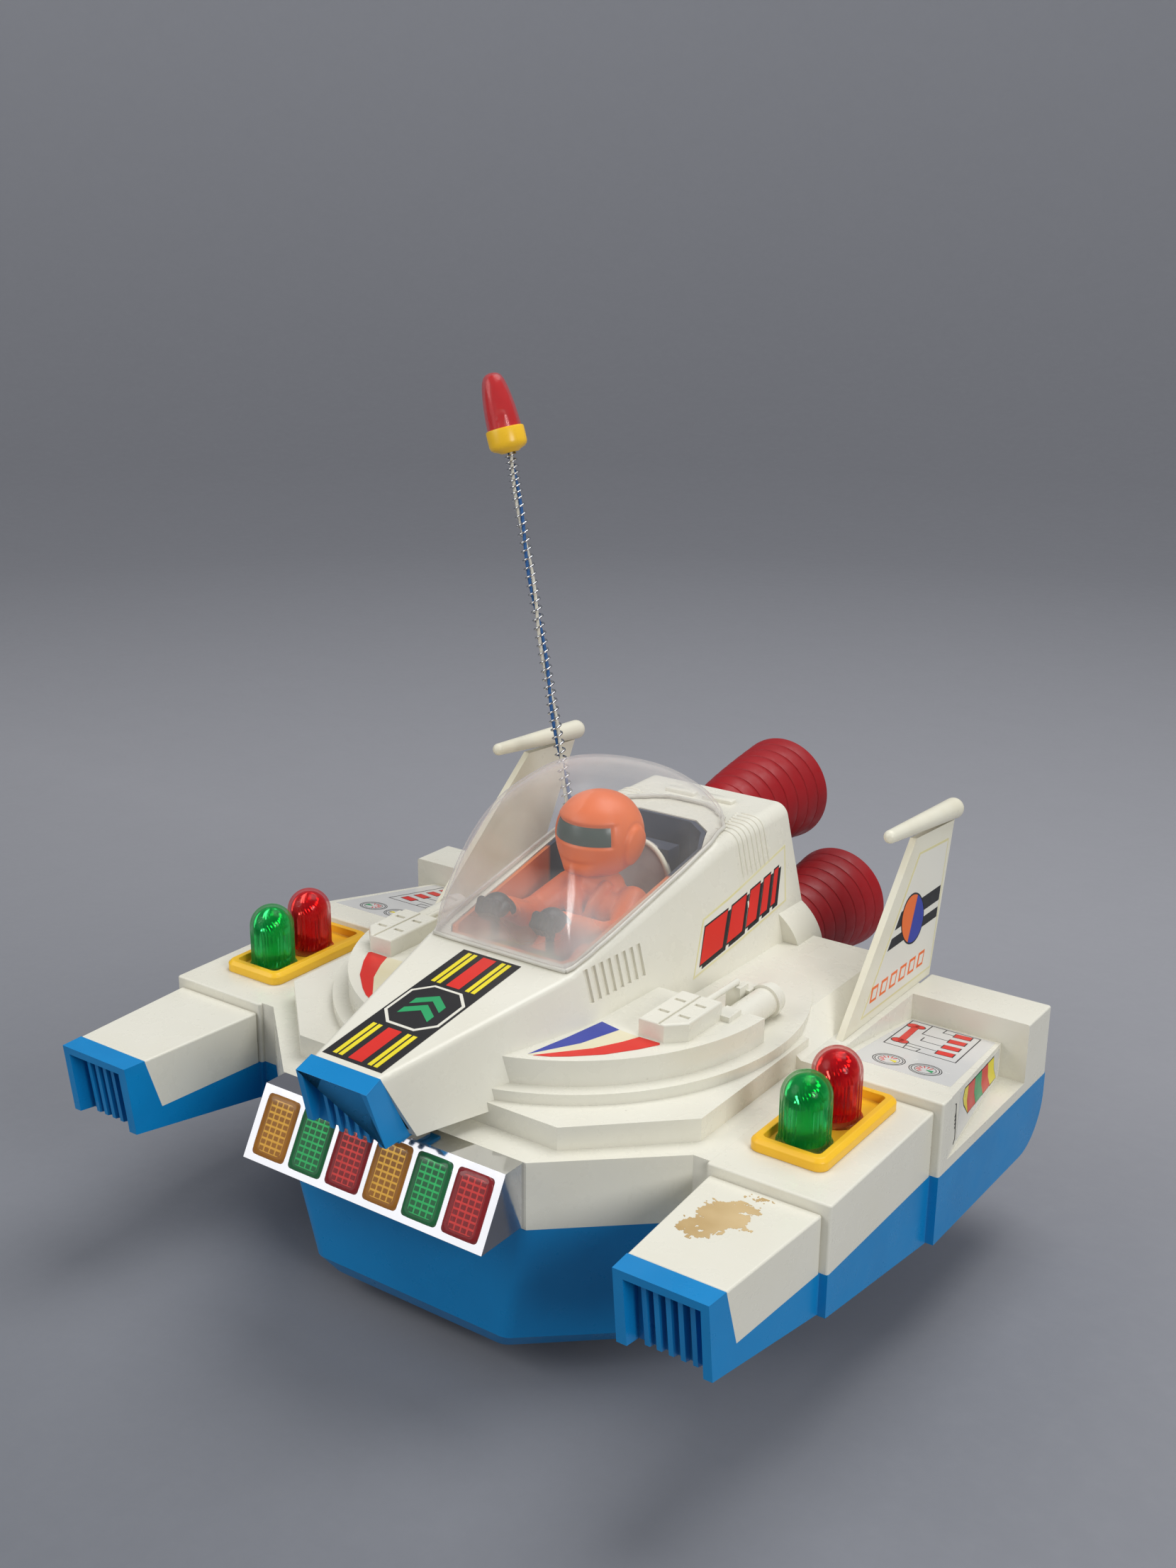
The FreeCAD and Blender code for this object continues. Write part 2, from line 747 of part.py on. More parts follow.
def upper_shell():
    band, step = body_plans(0.0)
    outer = on_both_sides([wing_top(0.0).cut(panel_recess(0.0))])
    outer.append(plan_prism(band, parting_z, band_z))
    outer.append(plan_prism(step, parting_z, step_z))
    outer.extend(disc_forms(0.0))
    outer.append(cabin_form(0.0))
    outer.extend(nozzle_bosses(0.0))
    outer.extend(side_engines())
    shell = joined(outer)
    band, step = body_plans(wall)
    inner = on_both_sides([wing_top(wall).cut(panel_recess(wall))])
    inner.append(plan_prism(band, parting_z - 1, band_z - wall))
    inner.append(plan_prism(step, parting_z - 1, step_z - wall))
    inner.extend(disc_forms(wall))
    inner.append(cabin_form(wall))
    inner.extend(nozzle_bosses(wall))
    hollow = joined(inner)
    shell = shell.cut(hollow)
    shell = shell.cut(plan_prism(cockpit_outline(0.0), platform_z + 2, cabin_top_z + 30))
    for x, z in nozzle_places().values():
        shell = shell.cut(lengthwise(spigot_radius(), 3 * nozzle_spigot, x, cabin_rear_y - 2 * nozzle_spigot, z))
    for vent in vents():
        shell = shell.cut(vent)
    shell = shell.cut(nose_cap_space())
    shell = shell.cut(upright(socket_radius - 1.5, 60, antenna_x, antenna_y, parting_z + 5))
    for y, colour in lamp_places():
        for side in (-1, 1):
            x = side * tray_middle_x()
            shell = shell.cut(upright(bulb_radius + 0.9, 8, x, y, middle_top_z - 6))
    columns = [ring(4.0, screw_radius, rim_z - 1 - column_z, x, y, column_z) for x, y in screw_places()]
    return joined([shell] + columns)


# ================================================================== hull
def hull_outline(half_front, front_y, half_side, side_y, half_rear, rear_y):
    right = [(half_front, front_y), (half_side, side_y), (half_side, rear_y - 22), (half_rear, rear_y)]
    return right + [(-x, y) for x, y in reversed(right)]


def loft_between(lower, low, upper, high):
    wires = []
    for outline, z in ((lower, low), (upper, high)):
        points = [vec(x, y, z) for x, y in outline]
        wires.append(Part.makePolygon(points + [points[0]]))
    return Part.makeLoft(wires, True, True)


def hull_form(inset):
    """Boat-shaped hull below the joint line."""
    top = hull_outline(band_front_half - inset * 0.6, band_front_y + inset, band_side_half - inset,
                       band_side_y + inset, hull_rear_half - inset, deck_rear_y - inset)
    low = hull_outline(hull_bottom_half + 4 - inset * 0.6, hull_bottom_front_y - 1.5 + inset,
                       hull_bottom_side_half + 4 - inset, hull_bottom_side_y - 1 + inset,
                       hull_rear_half - 8 - inset, deck_rear_y - 1.5 - inset)
    foot = hull_outline(hull_bottom_half - inset * 0.6, hull_bottom_front_y + 3.0 + inset,
                        hull_bottom_side_half - 1.5 - inset, hull_bottom_side_y + 3 + inset,
                        hull_rear_half - 12 - inset, deck_rear_y - 5 - inset)
    floor_z = ride_height + inset
    knee_z = ride_height + hull_chamfer
    ceiling = parting_z + (1.0 if inset else 0.0)
    upper = loft_between(low, knee_z, top, ceiling)
    lower = loft_between(foot, floor_z, low, knee_z)
    if not inset:
        upper = rounded(upper, hull_front_round, front_corner)
        lower = rounded(lower, hull_front_round * 0.9, front_corner)
    return joined([upper, lower])


def front_corner(edge):
    box = edge.BoundBox
    steep = box.ZLength > 5.0
    return steep and box.YMax < band_side_y - 10


def hull_webs():
    """Blue bridges from the hull sides to the pod undersides."""
    return on_both_sides([block(band_side_half - 8, middle_inner + wall, front_step_y + 1.6, deck_rear_y - 4,
                                parting_z - 8, parting_z)])


def wheel_wells(grow):
    half = rear_wheel_width / 2 + well_gap + grow
    reach = rear_wheel_radius + well_gap + grow
    wells = []
    for sign in (-1, 1):
        x = sign * rear_wheel_x
        wells.append(block(x - half, x + half, rear_axle_y - reach, rear_axle_y + reach,
                           -1.0 if not grow else ride_height, rear_axle_z + reach))
    return wells


def axle_bearings():
    """Upright plates that carry the rear axle inside the hull."""
    plates = []
    for sign in (-1, 1):
        x = sign * (rear_wheel_x - rear_wheel_width / 2 - well_gap - well_wall - 6)
        plates.append(block(x - 1.5, x + 1.5, rear_axle_y - 5, rear_axle_y + 5, hull_inner_z, rear_axle_z + 5))
    return plates


def gearbox_posts():
    posts = []
    for angle in post_angles:
        x = post_circle * math.cos(math.radians(angle))
        y = pod_y + post_circle * math.sin(math.radians(angle))
        posts.append(upright(post_radius, gearbox_z - ride_height - 0.5, x, y, ride_height + 0.5))
    return posts


def lower_hull():
    outer = on_both_sides([wing_under(0.0)]) + [hull_form(0.0)] + hull_webs()
    hull = joined(outer)
    inner = on_both_sides([wing_under(wall)]) + [hull_form(wall)]
    hull = hull.cut(joined(inner))
    hollow, fins = wing_grille()
    for cut in on_both_sides([hollow]):
        hull = hull.cut(cut)
    tip_end = wing_slab(wing_plan(0.0)[0], [(wing_tip_y, front_top_z), (wing_tip_y + tip_bottom_setback, 0),
                                            (front_step_y, 0), (front_step_y, front_top_z)], False)
    fins = [fin.common(tip_end) for fin in fins]
    channel_top = ride_height + door_thickness
    ceiling = block(-door_half - door_tongue - wall, door_half + door_tongue + wall, door_front_y - wall,
                    deck_rear_y - 3, ride_height + 1, channel_top + wall)
    hull = joined([hull, ceiling.common(hull_form(0.0))] + on_both_sides(fins) + gearbox_posts())
    hull = hull.cut(block(-door_half - skin_gap, door_half + skin_gap, door_front_y - skin_gap, deck_rear_y + 5,
                          ride_height - 5, channel_top))
    groove_half = door_half + door_tongue + skin_gap
    hull = hull.cut(block(-groove_half, groove_half, door_front_y - skin_gap, deck_rear_y + 5,
                          ride_height + door_thickness / 2 - skin_gap, channel_top))
    bay = block(-cell_half_width, cell_half_width, battery_y - cell_length / 2 - contact_length,
                battery_y + cell_length / 2 + contact_length - 4, ride_height, channel_top + wall + 1)
    hull = hull.cut(bay)
    bay_walls = block(-cell_half_width - wall, cell_half_width + wall,
                      battery_y - cell_length / 2 - contact_length - wall,
                      battery_y + cell_length / 2 + contact_length + wall,
                      channel_top, channel_top + 2 * cell_radius + 3)
    bay_space = block(-cell_half_width, cell_half_width, battery_y - cell_length / 2 - contact_length,
                      battery_y + cell_length / 2 + contact_length, 0, channel_top + 2 * cell_radius + 1)
    hull = joined([hull, bay_walls.cut(bay_space)])
    hull = hull.cut(upright(pod_radius + skin_gap + 0.3, 4 * wall, 0, pod_y, ride_height - 2 * wall))
    wells = [big.cut(small) for big, small in zip(wheel_wells(well_wall), wheel_wells(0.0))]
    hull = joined([hull] + wells + axle_bearings())
    for well in wheel_wells(0.0):
        hull = hull.cut(well)
    hull = hull.cut(crosswise(axle_radius + running_gap, 2 * rear_wheel_x, -rear_wheel_x, rear_axle_y, rear_axle_z))
    slot = block(switch_x - 2.5 - skin_gap, switch_x + 2.5 + switch_travel + skin_gap,
                 switch_y - 2.5 - skin_gap, switch_y + 2.5 + skin_gap, ride_height - 1, hull_inner_z + 1)
    hull = hull.cut(slot)
    for index in range(5):
        y = speaker_y - 10 + 5 * index
        half = math.sqrt((speaker_radius - 4) ** 2 - (y - speaker_y) ** 2)
        hull = hull.cut(block(speaker_x - half, speaker_x + half, y - 1, y + 1, ride_height - 1, hull_inner_z + 1))
    for x, y in screw_places():
        hull = joined([hull, upright(4.5, column_z - ride_height - 1, x, y, ride_height + 1)])
        hull = hull.cut(upright(screw_head_radius + 0.4, screw_seat_z - ride_height + 5, x, y, ride_height - 5))
        hull = hull.cut(upright(screw_radius + 0.2, parting_z, x, y, ride_height))
    return hull


# ================================================================== nose and light bar
def nose_cap_side():
    """Side view of the blue grille at the end of the nose."""
    front_low = nose_tip_y + nose_cap_bottom_setback
    return [(nose_tip_y, nose_top_z - 2.5), (nose_tip_y + nose_cap_top_length, nose_top_z + 0.3),
            (front_low + nose_cap_bottom_length, nose_under_z - 0.5), (front_low, nose_under_z - 0.5)]


def nose_cap_space():
    """Everything in front of the joint between the nose and its grille."""
    top, low = nose_cap_side()[1], nose_cap_side()[2]
    return side_prism([top, low, (low[0], low[1] - 1), (nose_tip_y - 5, low[1] - 1),
                       (nose_tip_y - 5, nose_top_z + 5), (top[0], nose_top_z + 5)], -nose_base_half - 9,
                      nose_base_half + 9)


def nose_cap():
    front_low = nose_tip_y + nose_cap_bottom_setback
    width = nose_base_half + 0.3
    outline = [(-width, nose_under_z - 0.5), (-nose_top_half - 0.2, nose_top_z + 0.3),
               (nose_top_half + 0.2, nose_top_z + 0.3), (width, nose_under_z - 0.5)]
    shape = front_prism(outline, nose_tip_y - 1, front_low + nose_cap_bottom_length + 3)
    shape = shape.common(side_prism(nose_cap_side(), -40, 40))
    hollow = [(x * (width - nose_cap_wall) / width, z) for x, z in outline]
    hollow = [(hollow[0][0], nose_under_z - 3), (hollow[1][0], nose_top_z - nose_cap_wall),
              (hollow[2][0], nose_top_z - nose_cap_wall), (hollow[3][0], nose_under_z - 3)]
    mouth = front_prism(hollow, nose_tip_y - 2, nose_tip_y + nose_cap_depth)
    shape = shape.cut(mouth)
    strip = side_prism([(front_low + nose_cap_bottom_length - 4, nose_under_z),
                        (front_low + nose_cap_bottom_length - 4, nose_under_z - 2.6),
                        (band_front_y + 3, nose_under_z - 1.2), (band_front_y + 3, nose_under_z)],
                       -nose_base_half + 1, nose_base_half - 1)
    space = 2 * (nose_top_half - nose_cap_wall) / (nose_fin_count + 1)
    fins = []
    for index in range(nose_fin_count):
        x = -nose_top_half + nose_cap_wall + space * (index + 1)
        side = [(nose_tip_y + 3.5, nose_top_z - 1.5), (nose_tip_y + nose_cap_depth + 0.5, nose_top_z - 1.5),
                (nose_tip_y + nose_cap_depth + 0.5, nose_under_z - 2.0), (front_low + 2.0, nose_under_z - 2.0)]
        fins.append(side_prism(side, x - 0.8, x + 0.8))
    return joined([shape, strip] + fins)


def bar_slant():
    """Lean of the light bar's face from upright, in degrees."""
    return math.degrees(math.atan2(bar_top_y - bar_bottom_y, band_z - bar_bottom_z))


def on_bar_face(shape):
    """Moves a piece drawn against the plane y = 0 onto the sloping face of the light bar."""
    copy = turned(shape, ORIGIN, X_AXIS, -bar_slant())
    copy.translate(vec(0, bar_bottom_y, bar_bottom_z))
    return copy


def lens_middles():
    pitch = 2 * (bar_half - 2.0) / lens_count
    return [-bar_half + 2.0 + pitch * (index + 0.5) for index in range(lens_count)]


def lens_plate(x, grow, near, far):
    """Upright round-cornered plate standing behind the plane y = 0."""
    face_length = (band_z - bar_bottom_z) / math.cos(math.radians(bar_slant()))
    low = (face_length - lens_height) / 2
    plate = block(x - lens_width / 2 - grow, x + lens_width / 2 + grow, near, far, low - grow, low + lens_height + grow)

    def crosswise_edge(edge):
        return abs(edge.tangentAt(edge.FirstParameter).y) > 0.99

    return rounded(plate, lens_round + grow, crosswise_edge)


def light_bar_housing():
    rear = band_front_y
    side = [(bar_top_y, band_z), (bar_bottom_y, bar_bottom_z), (rear, bar_bottom_z), (rear, band_z)]
    body = side_prism(side, -bar_half, bar_half)
    t = bar_wall
    lean = math.tan(math.radians(bar_slant()))
    run = t / math.cos(math.radians(bar_slant()))
    inner = [(bar_top_y + run + t * lean * -1, band_z - t), (bar_bottom_y + run - t * lean * -1, bar_bottom_z + t),
             (rear + 1, bar_bottom_z + t), (rear + 1, band_z - t)]
    body = body.cut(side_prism(inner, -bar_half + t, bar_half - t))
    for x in lens_middles():
        body = body.cut(on_bar_face(lens_plate(x, skin_gap / 2, -1.0, bar_wall + 1.0)))
    bracket = side_prism([(bar_top_y, band_z - 0.5), (bar_top_y - 5, nose_under_z - 2.8),
                          (rear, nose_under_z - 1.6), (rear, band_z - 0.5)], -nose_base_half + 3, nose_base_half - 3)
    return joined([body, bracket])


def bar_lenses(first):
    """Two lenses of one colour, each with a flange behind the housing's face."""
    housing = light_bar_housing()
    lenses = []
    for index in (first, first + 3):
        x = lens_middles()[index]
        front = lens_plate(x, 0.0, lens_recess, bar_wall)
        flange = lens_plate(x, 0.7, bar_wall, lens_thickness)
        lenses.append(on_bar_face(front.fuse(flange)).cut(housing))
    return Part.makeCompound(lenses)


def bar_bulbs():
    """Six small bulbs on one strip."""
    strip_y = band_front_y - 4.0
    low = (band_z + bar_bottom_z) / 2
    strip = block(-bar_half + bar_wall, bar_half - bar_wall, strip_y, strip_y + 1.6, low - 4, low + 4)
    bulbs = []
    for x in lens_middles():
        bulbs.append(lengthwise(2.2, 4.0, x, strip_y - 4.0, low))
        bulbs.append(Part.makeSphere(2.2, vec(x, strip_y - 4.0, low)))
    return joined([strip] + bulbs)


# ================================================================== beacon lamps
def tray_middle_x():
    return half_span - front_inset_out - 1.0 - (half_span - front_inset_out - middle_inner) / 2


def lamp_places():
    return [(green_dome_y, "green"), (red_dome_y, "red")]


def dome_tray():
    x = tray_middle_x()
    half = tray_width / 2
    base = block(x - half, x + half, tray_front_y, tray_front_y + tray_length, middle_top_z, middle_top_z + tray_height)
    base = rounded(base, 4.0, upright_edge)
    top_edges = [edge for edge in base.Edges if edge_at_height(middle_top_z + tray_height)(edge)]
    base = base.makeChamfer(tray_bevel, top_edges)
    inset = tray_rim + tray_bevel
    pocket = block(x - half + inset, x + half - inset, tray_front_y + inset, tray_front_y + tray_length - inset,
                   middle_top_z + tray_floor, middle_top_z + tray_height + 1)
    pocket = rounded(pocket, 2.0, upright_edge)
    tray = base.cut(pocket)
    for y, colour in lamp_places():
        tray = tray.cut(upright(bulb_radius + 0.9, 20, x, y, middle_top_z - 5))
    return tray


def dome(y):
    outer = dome_shape(dome_radius, dome_height)
    inner = dome_shape(dome_radius - dome_wall, dome_height - dome_wall)
    foot = upright(dome_radius + dome_flange, 1.0, 0, 0, 0)
    shape = joined([outer, foot]).cut(inner)
    shape.translate(vec(tray_middle_x(), y, middle_top_z + tray_floor))
    return shape


def lamp_bulb_set():
    bulbs = []
    for y, colour in lamp_places():
        x = tray_middle_x()
        z = middle_top_z + tray_floor
        glass = joined([upright(bulb_radius - 0.6, 5.0, x, y, z + 2.0), Part.makeSphere(bulb_radius, vec(x, y, z + 8.0))])
        bulbs.append(glass)
    return Part.makeCompound(on_both_sides(bulbs))


def lamp_socket_set():
    sockets = []
    for y, colour in lamp_places():
        x = tray_middle_x()
        z = middle_top_z + tray_floor
        cup = upright(bulb_radius + 0.6, 9.0, x, y, z - 7.0)
        collar = upright(bulb_radius + 3.0, 1.5, x, y, middle_top_z - wall - 1.5)
        socket = joined([cup, collar]).cut(upright(bulb_radius - 0.6, 10, x, y, z + 2.0 - 0.0))
        sockets.append(socket)
    return Part.makeCompound(on_both_sides(sockets))


# ================================================================== canopy, cockpit and driver
def canopy_ridge():
    """Stations along the canopy: place, half-width of the foot, height of the crown over the rim."""
    length = canopy_rear_y - rim_front_y
    stations = [(0.0, 0.94, 0.02), (0.03, 0.97, 0.60), (0.10, 0.985, 0.90), (0.22, 1.0, 1.0), (0.38, 1.0, 0.955),
                (0.55, 1.0, 0.80), (0.72, 0.985, 0.57), (0.86, 0.86, 0.34), (0.95, 0.62, 0.15), (1.0, 0.30, 0.02)]
    places = []
    for along, wide, tall in stations:
        y = rim_front_y + length * along
        places.append((y, (rim_front_half - 1.0) * wide, canopy_rise * tall))
    return places


def canopy_section(y, half, rise, inset):
    foot = rim_height_at(y) + 0.25
    half = half - inset
    rise = max(rise - inset, 0.6)
    points = []
    for step in range(9):
        angle = math.pi * step / 8
        squareness = 0.92
        cx = math.copysign(abs(math.cos(angle)) ** squareness, math.cos(angle))
        points.append(vec(half * cx, y, foot + rise * math.sin(angle) ** squareness))
    curve = Part.BSplineCurve()
    curve.interpolate(points)
    return Part.Wire([curve.toShape(), Part.makeLine(points[-1], points[0])])


def canopy():
    places = canopy_ridge()
    outer = Part.makeLoft([canopy_section(y, half, rise, 0.0) for y, half, rise in places], True, False)
    inner_places = [(y, half, rise) for y, half, rise in places]
    inner_places[0] = (places[0][0] + canopy_thickness, places[0][1], places[0][2])
    inner_places[-1] = (places[-1][0] - canopy_thickness, places[-1][1], places[-1][2])
    inner = Part.makeLoft([canopy_section(y, half, rise, canopy_thickness) for y, half, rise in inner_places], True, False)
    inner.translate(vec(0, 0, -0.5))
    return outer.cut(inner)


def cockpit_tub():
    outer = plan_prism(cockpit_outline(skin_gap), tub_floor_z, cabin_top_z)
    inner = plan_prism(cockpit_outline(skin_gap + tub_wall), tub_floor_top_z, cabin_top_z + 1)
    lip = [(rim_front_y, rim_front_z - 0.4), (rim_rear_y, rim_rear_z - 0.4), (cabin_rear_y, cabin_top_z - 0.4),
           (cabin_rear_y, cabin_top_z + 20), (rim_front_y, cabin_top_z + 20)]
    tub = outer.cut(inner).cut(side_prism(lip, -60, 60))
    back = block(-17, 17, rim_rear_y - 12, rim_rear_y - 4, tub_floor_top_z - 0.5, rim_rear_z - 4)
    seat = block(-13, 13, 2, rim_rear_y - 8, tub_floor_top_z - 0.5, tub_floor_top_z + 12)
    dash = side_prism([(rim_front_y + 5, tub_floor_top_z - 0.5), (rim_front_y + 5, rim_front_z - 3),
                       (rim_front_y + 13, rim_front_z - 3), (rim_front_y + 20, tub_floor_top_z - 0.5)], -24, 24)
    return joined([tub, back.common(outer), seat, dash.common(outer)])


def seat_top_z():
    return tub_floor_top_z + 12


def driver_figure():
    low = seat_top_z()
    neck = helmet_z - helmet_radius + 1.0
    hips = block(-10, 10, 4, 22, low, low + 8)
    torso_foot = [(10.5, 4), (10.5, 20), (-10.5, 20), (-10.5, 4)]
    torso_head = [(14.0, -3), (14.0, 15), (-14.0, 15), (-14.0, -3)]
    torso = loft_between(torso_foot, low + 6, torso_head, neck - 3)
    collar = upright(8.5, 7, 0, helmet_y + 1, neck - 4)
    limbs = []
    for sign in (-1, 1):
        shoulder = vec(sign * 15, 4, neck - 7)
        elbow = vec(sign * 20.5, -16, neck - 13)
        wrist = vec(sign * glove_half, glove_y + 5, glove_z)
        limbs.append(rod(shoulder, elbow, 4.6))
        limbs.append(rod(elbow, wrist, 3.8))
        knee = vec(sign * 8, -16, low + 6)
        limbs.append(rod(vec(sign * 6, 8, low + 5), knee, 5.0))
        limbs.append(rod(knee, vec(sign * 8, -30, tub_floor_top_z + 5), 4.4))
    body = joined([hips, torso, collar] + limbs)
    body = body.cut(driver_helmet())
    for sign in (-1, 1):
        body = body.cut(Part.makeSphere(5.6, vec(sign * glove_half, glove_y, glove_z)))
    return body.cut(cockpit_tub())


def visor_tool(inner, outer):
    """Band of a sphere in front of the driver's eyes."""
    centre = vec(0, helmet_y, helmet_z)
    shell = Part.makeSphere(outer, centre).cut(Part.makeSphere(inner, centre))
    window = block(-14.5, 14.5, helmet_y - 30, helmet_y - 4, helmet_z - 2.0, helmet_z + 9.0)
    return shell.common(window)


def driver_helmet():
    centre = vec(0, helmet_y, helmet_z)
    shell = Part.makeSphere(helmet_radius, centre)
    ears = [crosswise(5.5, 2 * helmet_radius + 2.4, -helmet_radius - 1.2, helmet_y, helmet_z - 4)]
    chin = Part.makeSphere(8.0, vec(0, helmet_y - 10.5, helmet_z - 9.5))
    solid = joined([shell, chin] + ears)
    return solid.cut(visor_tool(helmet_radius - 1.5, helmet_radius + 4))


def driver_gloves():
    gloves = []
    for sign in (-1, 1):
        gloves.append(Part.makeSphere(5.6, vec(sign * glove_half, glove_y, glove_z)))
    gloves = [glove.cut(stick) for glove, stick in zip(gloves, stick_rods())]
    return Part.makeCompound(gloves)


def stick_rods():
    rods = []
    for sign in (-1, 1):
        rods.append(upright(1.6, glove_z + 4 - (rim_front_z - 3), sign * glove_half, glove_y, rim_front_z - 3))
    return rods


def control_sticks():
    plate = block(-glove_half - 4, glove_half + 4, glove_y - 3, glove_y + 3, rim_front_z - 5, rim_front_z - 3)
    pedestal = block(-5, 5, glove_y - 3, glove_y + 3, tub_floor_top_z, rim_front_z - 5)
    shape = joined([plate, pedestal] + stick_rods())
    return shape.cut(cockpit_tub())


# ================================================================== nozzles, fins and antenna
def nozzle(x, z):
    """A flared nozzle of overlapping rings, its axis along Y."""
    length = nozzle_mouth_y - cabin_rear_y
    pitch = length / nozzle_rings
    outline = [(0.0, -nozzle_spigot), (spigot_radius() - 0.05, -nozzle_spigot), (spigot_radius() - 0.05, 0.0)]
    growth = (nozzle_mouth_radius - nozzle_root_radius) / nozzle_rings
    for index in range(nozzle_rings):
        small = nozzle_root_radius + growth * index
        outline.append((small, pitch * index))
        outline.append((small + growth + nozzle_step, pitch * (index + 0.86)))
        outline.append((small + growth, pitch * (index + 1)))
    outline[-1] = (nozzle_mouth_radius, length)
    outer = turned_profile(outline + [(0.0, length)])
    bore = turned_profile([(0.0, -nozzle_spigot - 1), (spigot_radius() - nozzle_wall, -nozzle_spigot - 1),
                           (spigot_radius() - nozzle_wall, 0.5), (nozzle_root_radius - nozzle_wall, 2.0),
                           (nozzle_mouth_radius - nozzle_wall, length + 0.01), (0.0, length + 0.01)])
    shape = outer.cut(bore)
    shape.rotate(ORIGIN, X_AXIS, -90)
    shape.translate(vec(x, cabin_rear_y, z))
    return shape


def fin():
    """A leaning fin with a torpedo along its tip."""
    foot_z = rear_top_z
    outline = [(fin_base_front_y, foot_z), (fin_top_front_y, foot_z + fin_height),
               (fin_top_rear_y, foot_z + fin_height - 2.0), (fin_base_rear_y, foot_z)]
    x = half_span - fin_inset
    plate = side_prism(outline, x - fin_thickness / 2, x + fin_thickness / 2)
    plate = turned(plate, vec(x, 0, foot_z), Y_AXIS, -fin_lean)
    top_x = x - (fin_height + 3) * math.sin(math.radians(fin_lean))
    centre = vec(top_x, (fin_top_front_y + fin_top_rear_y) / 2 - 8.5, foot_z + fin_height + 4.0)
    half = torpedo_length / 2
    body = Part.makeCone(torpedo_front_radius, torpedo_rear_radius, torpedo_length - torpedo_rear_radius
                         - torpedo_front_radius, vec(0, -half + torpedo_front_radius, 0), Y_AXIS)
    nose = Part.makeSphere(torpedo_front_radius, vec(0, -half + torpedo_front_radius, 0))
    tail = Part.makeSphere(torpedo_rear_radius, vec(0, half - torpedo_rear_radius, 0))
    torpedo = joined([body, nose, tail])
    torpedo.rotate(ORIGIN, X_AXIS, -torpedo_tilt)
    torpedo.translate(centre)
    shape = joined([plate, torpedo])
    return shape.cut(block(0, 300, -300, 300, 0, foot_z))


def antenna_direction():
    return vec(-math.sin(math.radians(antenna_lean)), 0, math.cos(math.radians(antenna_lean)))


def antenna_start():
    return vec(antenna_x, antenna_y, deck_z + socket_height)


def antenna_tube(outer, inner, start, end):
    """A sleeve along the leaning antenna between two distances from its foot."""
    foot = antenna_start().add(antenna_direction().multiply(start))
    tube = Part.makeCylinder(outer, end - start, foot, antenna_direction())
    if inner:
        tube = tube.cut(Part.makeCylinder(inner, end - start, foot, antenna_direction()))
    return tube


def antenna_base():
    """Moulded socket on the deck that grips the foot of the spring."""
    deck = deck_z
    foot = upright(socket_radius + 1.5, 2.0, antenna_x, antenna_y, deck)
    cup = upright(socket_radius, socket_height - 1.5, antenna_x, antenna_y, deck)
    plug = upright(socket_radius - 1.6, wall + 3, antenna_x, antenna_y, deck - wall - 3)
    shape = joined([foot, cup, plug]).cut(upright(rim_radius, rim_z, 0, disc_y, 0).cut(plug))
    for neighbour in [cabin_form(0.0)] + nozzle_bosses(0.0):
        shape = shape.cut(neighbour.cut(plug))
    return shape.cut(antenna_tube(lead_radius + 1.0, 0, -socket_height - 8, 2))


def antenna_spans():
    part = spring_length / spring_parts
    gap = skin_gap
    return [(part * index + (gap if index else 0.0), part * (index + 1) - gap) for index in range(spring_parts)]


def antenna_spring(index):
    start, end = antenna_spans()[index]
    return antenna_tube(spring_radius, spring_bore, start, end)


def antenna_leads(index):
    """Two insulated wires side by side in the bore of the spring."""
    start, end = antenna_spans()[index]
    wires = []
    for side in (-1, 1):
        foot = antenna_start().add(antenna_direction().multiply(start)).add(vec(0, side * (lead_radius + 0.05), 0))
        wires.append(Part.makeCylinder(lead_radius, end - start, foot, antenna_direction()))
    return Part.makeCompound(wires)


def lamp_frame(shape):
    """Moves a piece drawn standing on the origin to the top of the spring."""
    copy = turned(shape, ORIGIN, Y_AXIS, -antenna_lean - 5.6)
    copy.translate(antenna_start().add(antenna_direction().multiply(spring_length)))
    return copy


def antenna_lamp_cap():
    outline = [(0, -1.0), (spring_radius + 1.6, -1.0), (lamp_cap_radius - 1.6, 0.6), (lamp_cap_radius, 4.5),
               (lamp_cap_radius, lamp_cap_height), (lamp_lens_radius - 1.0, lamp_cap_height),
               (lamp_lens_radius - 1.0, 2.5), (0, 2.5)]
    shape = turned_profile(outline)
    shape = shape.cut(upright(spring_radius, 6, 0, 0, -3))
    return lamp_frame(shape)


def antenna_lamp_lens():
    base = lamp_cap_height
    outline = [(0, base), (lamp_lens_radius, base), (lamp_lens_radius - 0.5, base + 9),
               (lamp_tip_radius + 0.6, base + lamp_lens_height - 4.5),
               (lamp_tip_radius - 1.2, base + lamp_lens_height - 1.2), (0, base + lamp_lens_height)]
    inner = [(0, base), (lamp_lens_radius - 1.2, base), (lamp_lens_radius - 1.7, base + 9),
             (lamp_tip_radius - 0.6, base + lamp_lens_height - 5.5), (0, base + lamp_lens_height - 1.4)]
    return lamp_frame(turned_profile(outline).cut(turned_profile(inner)))


def antenna_lamp_bulb():
    stem = upright(2.4, lamp_cap_height + 1.5, 0, 0, 2.5)
    glass = Part.makeSphere(3.0, vec(0, 0, lamp_cap_height + 5.0))
    return lamp_frame(joined([stem, glass]))


# ================================================================== drive pod and gear train
def fork_inner_x():
    return drive_wheel_x - drive_wheel_width / 2 - 1.0 - fork_thickness


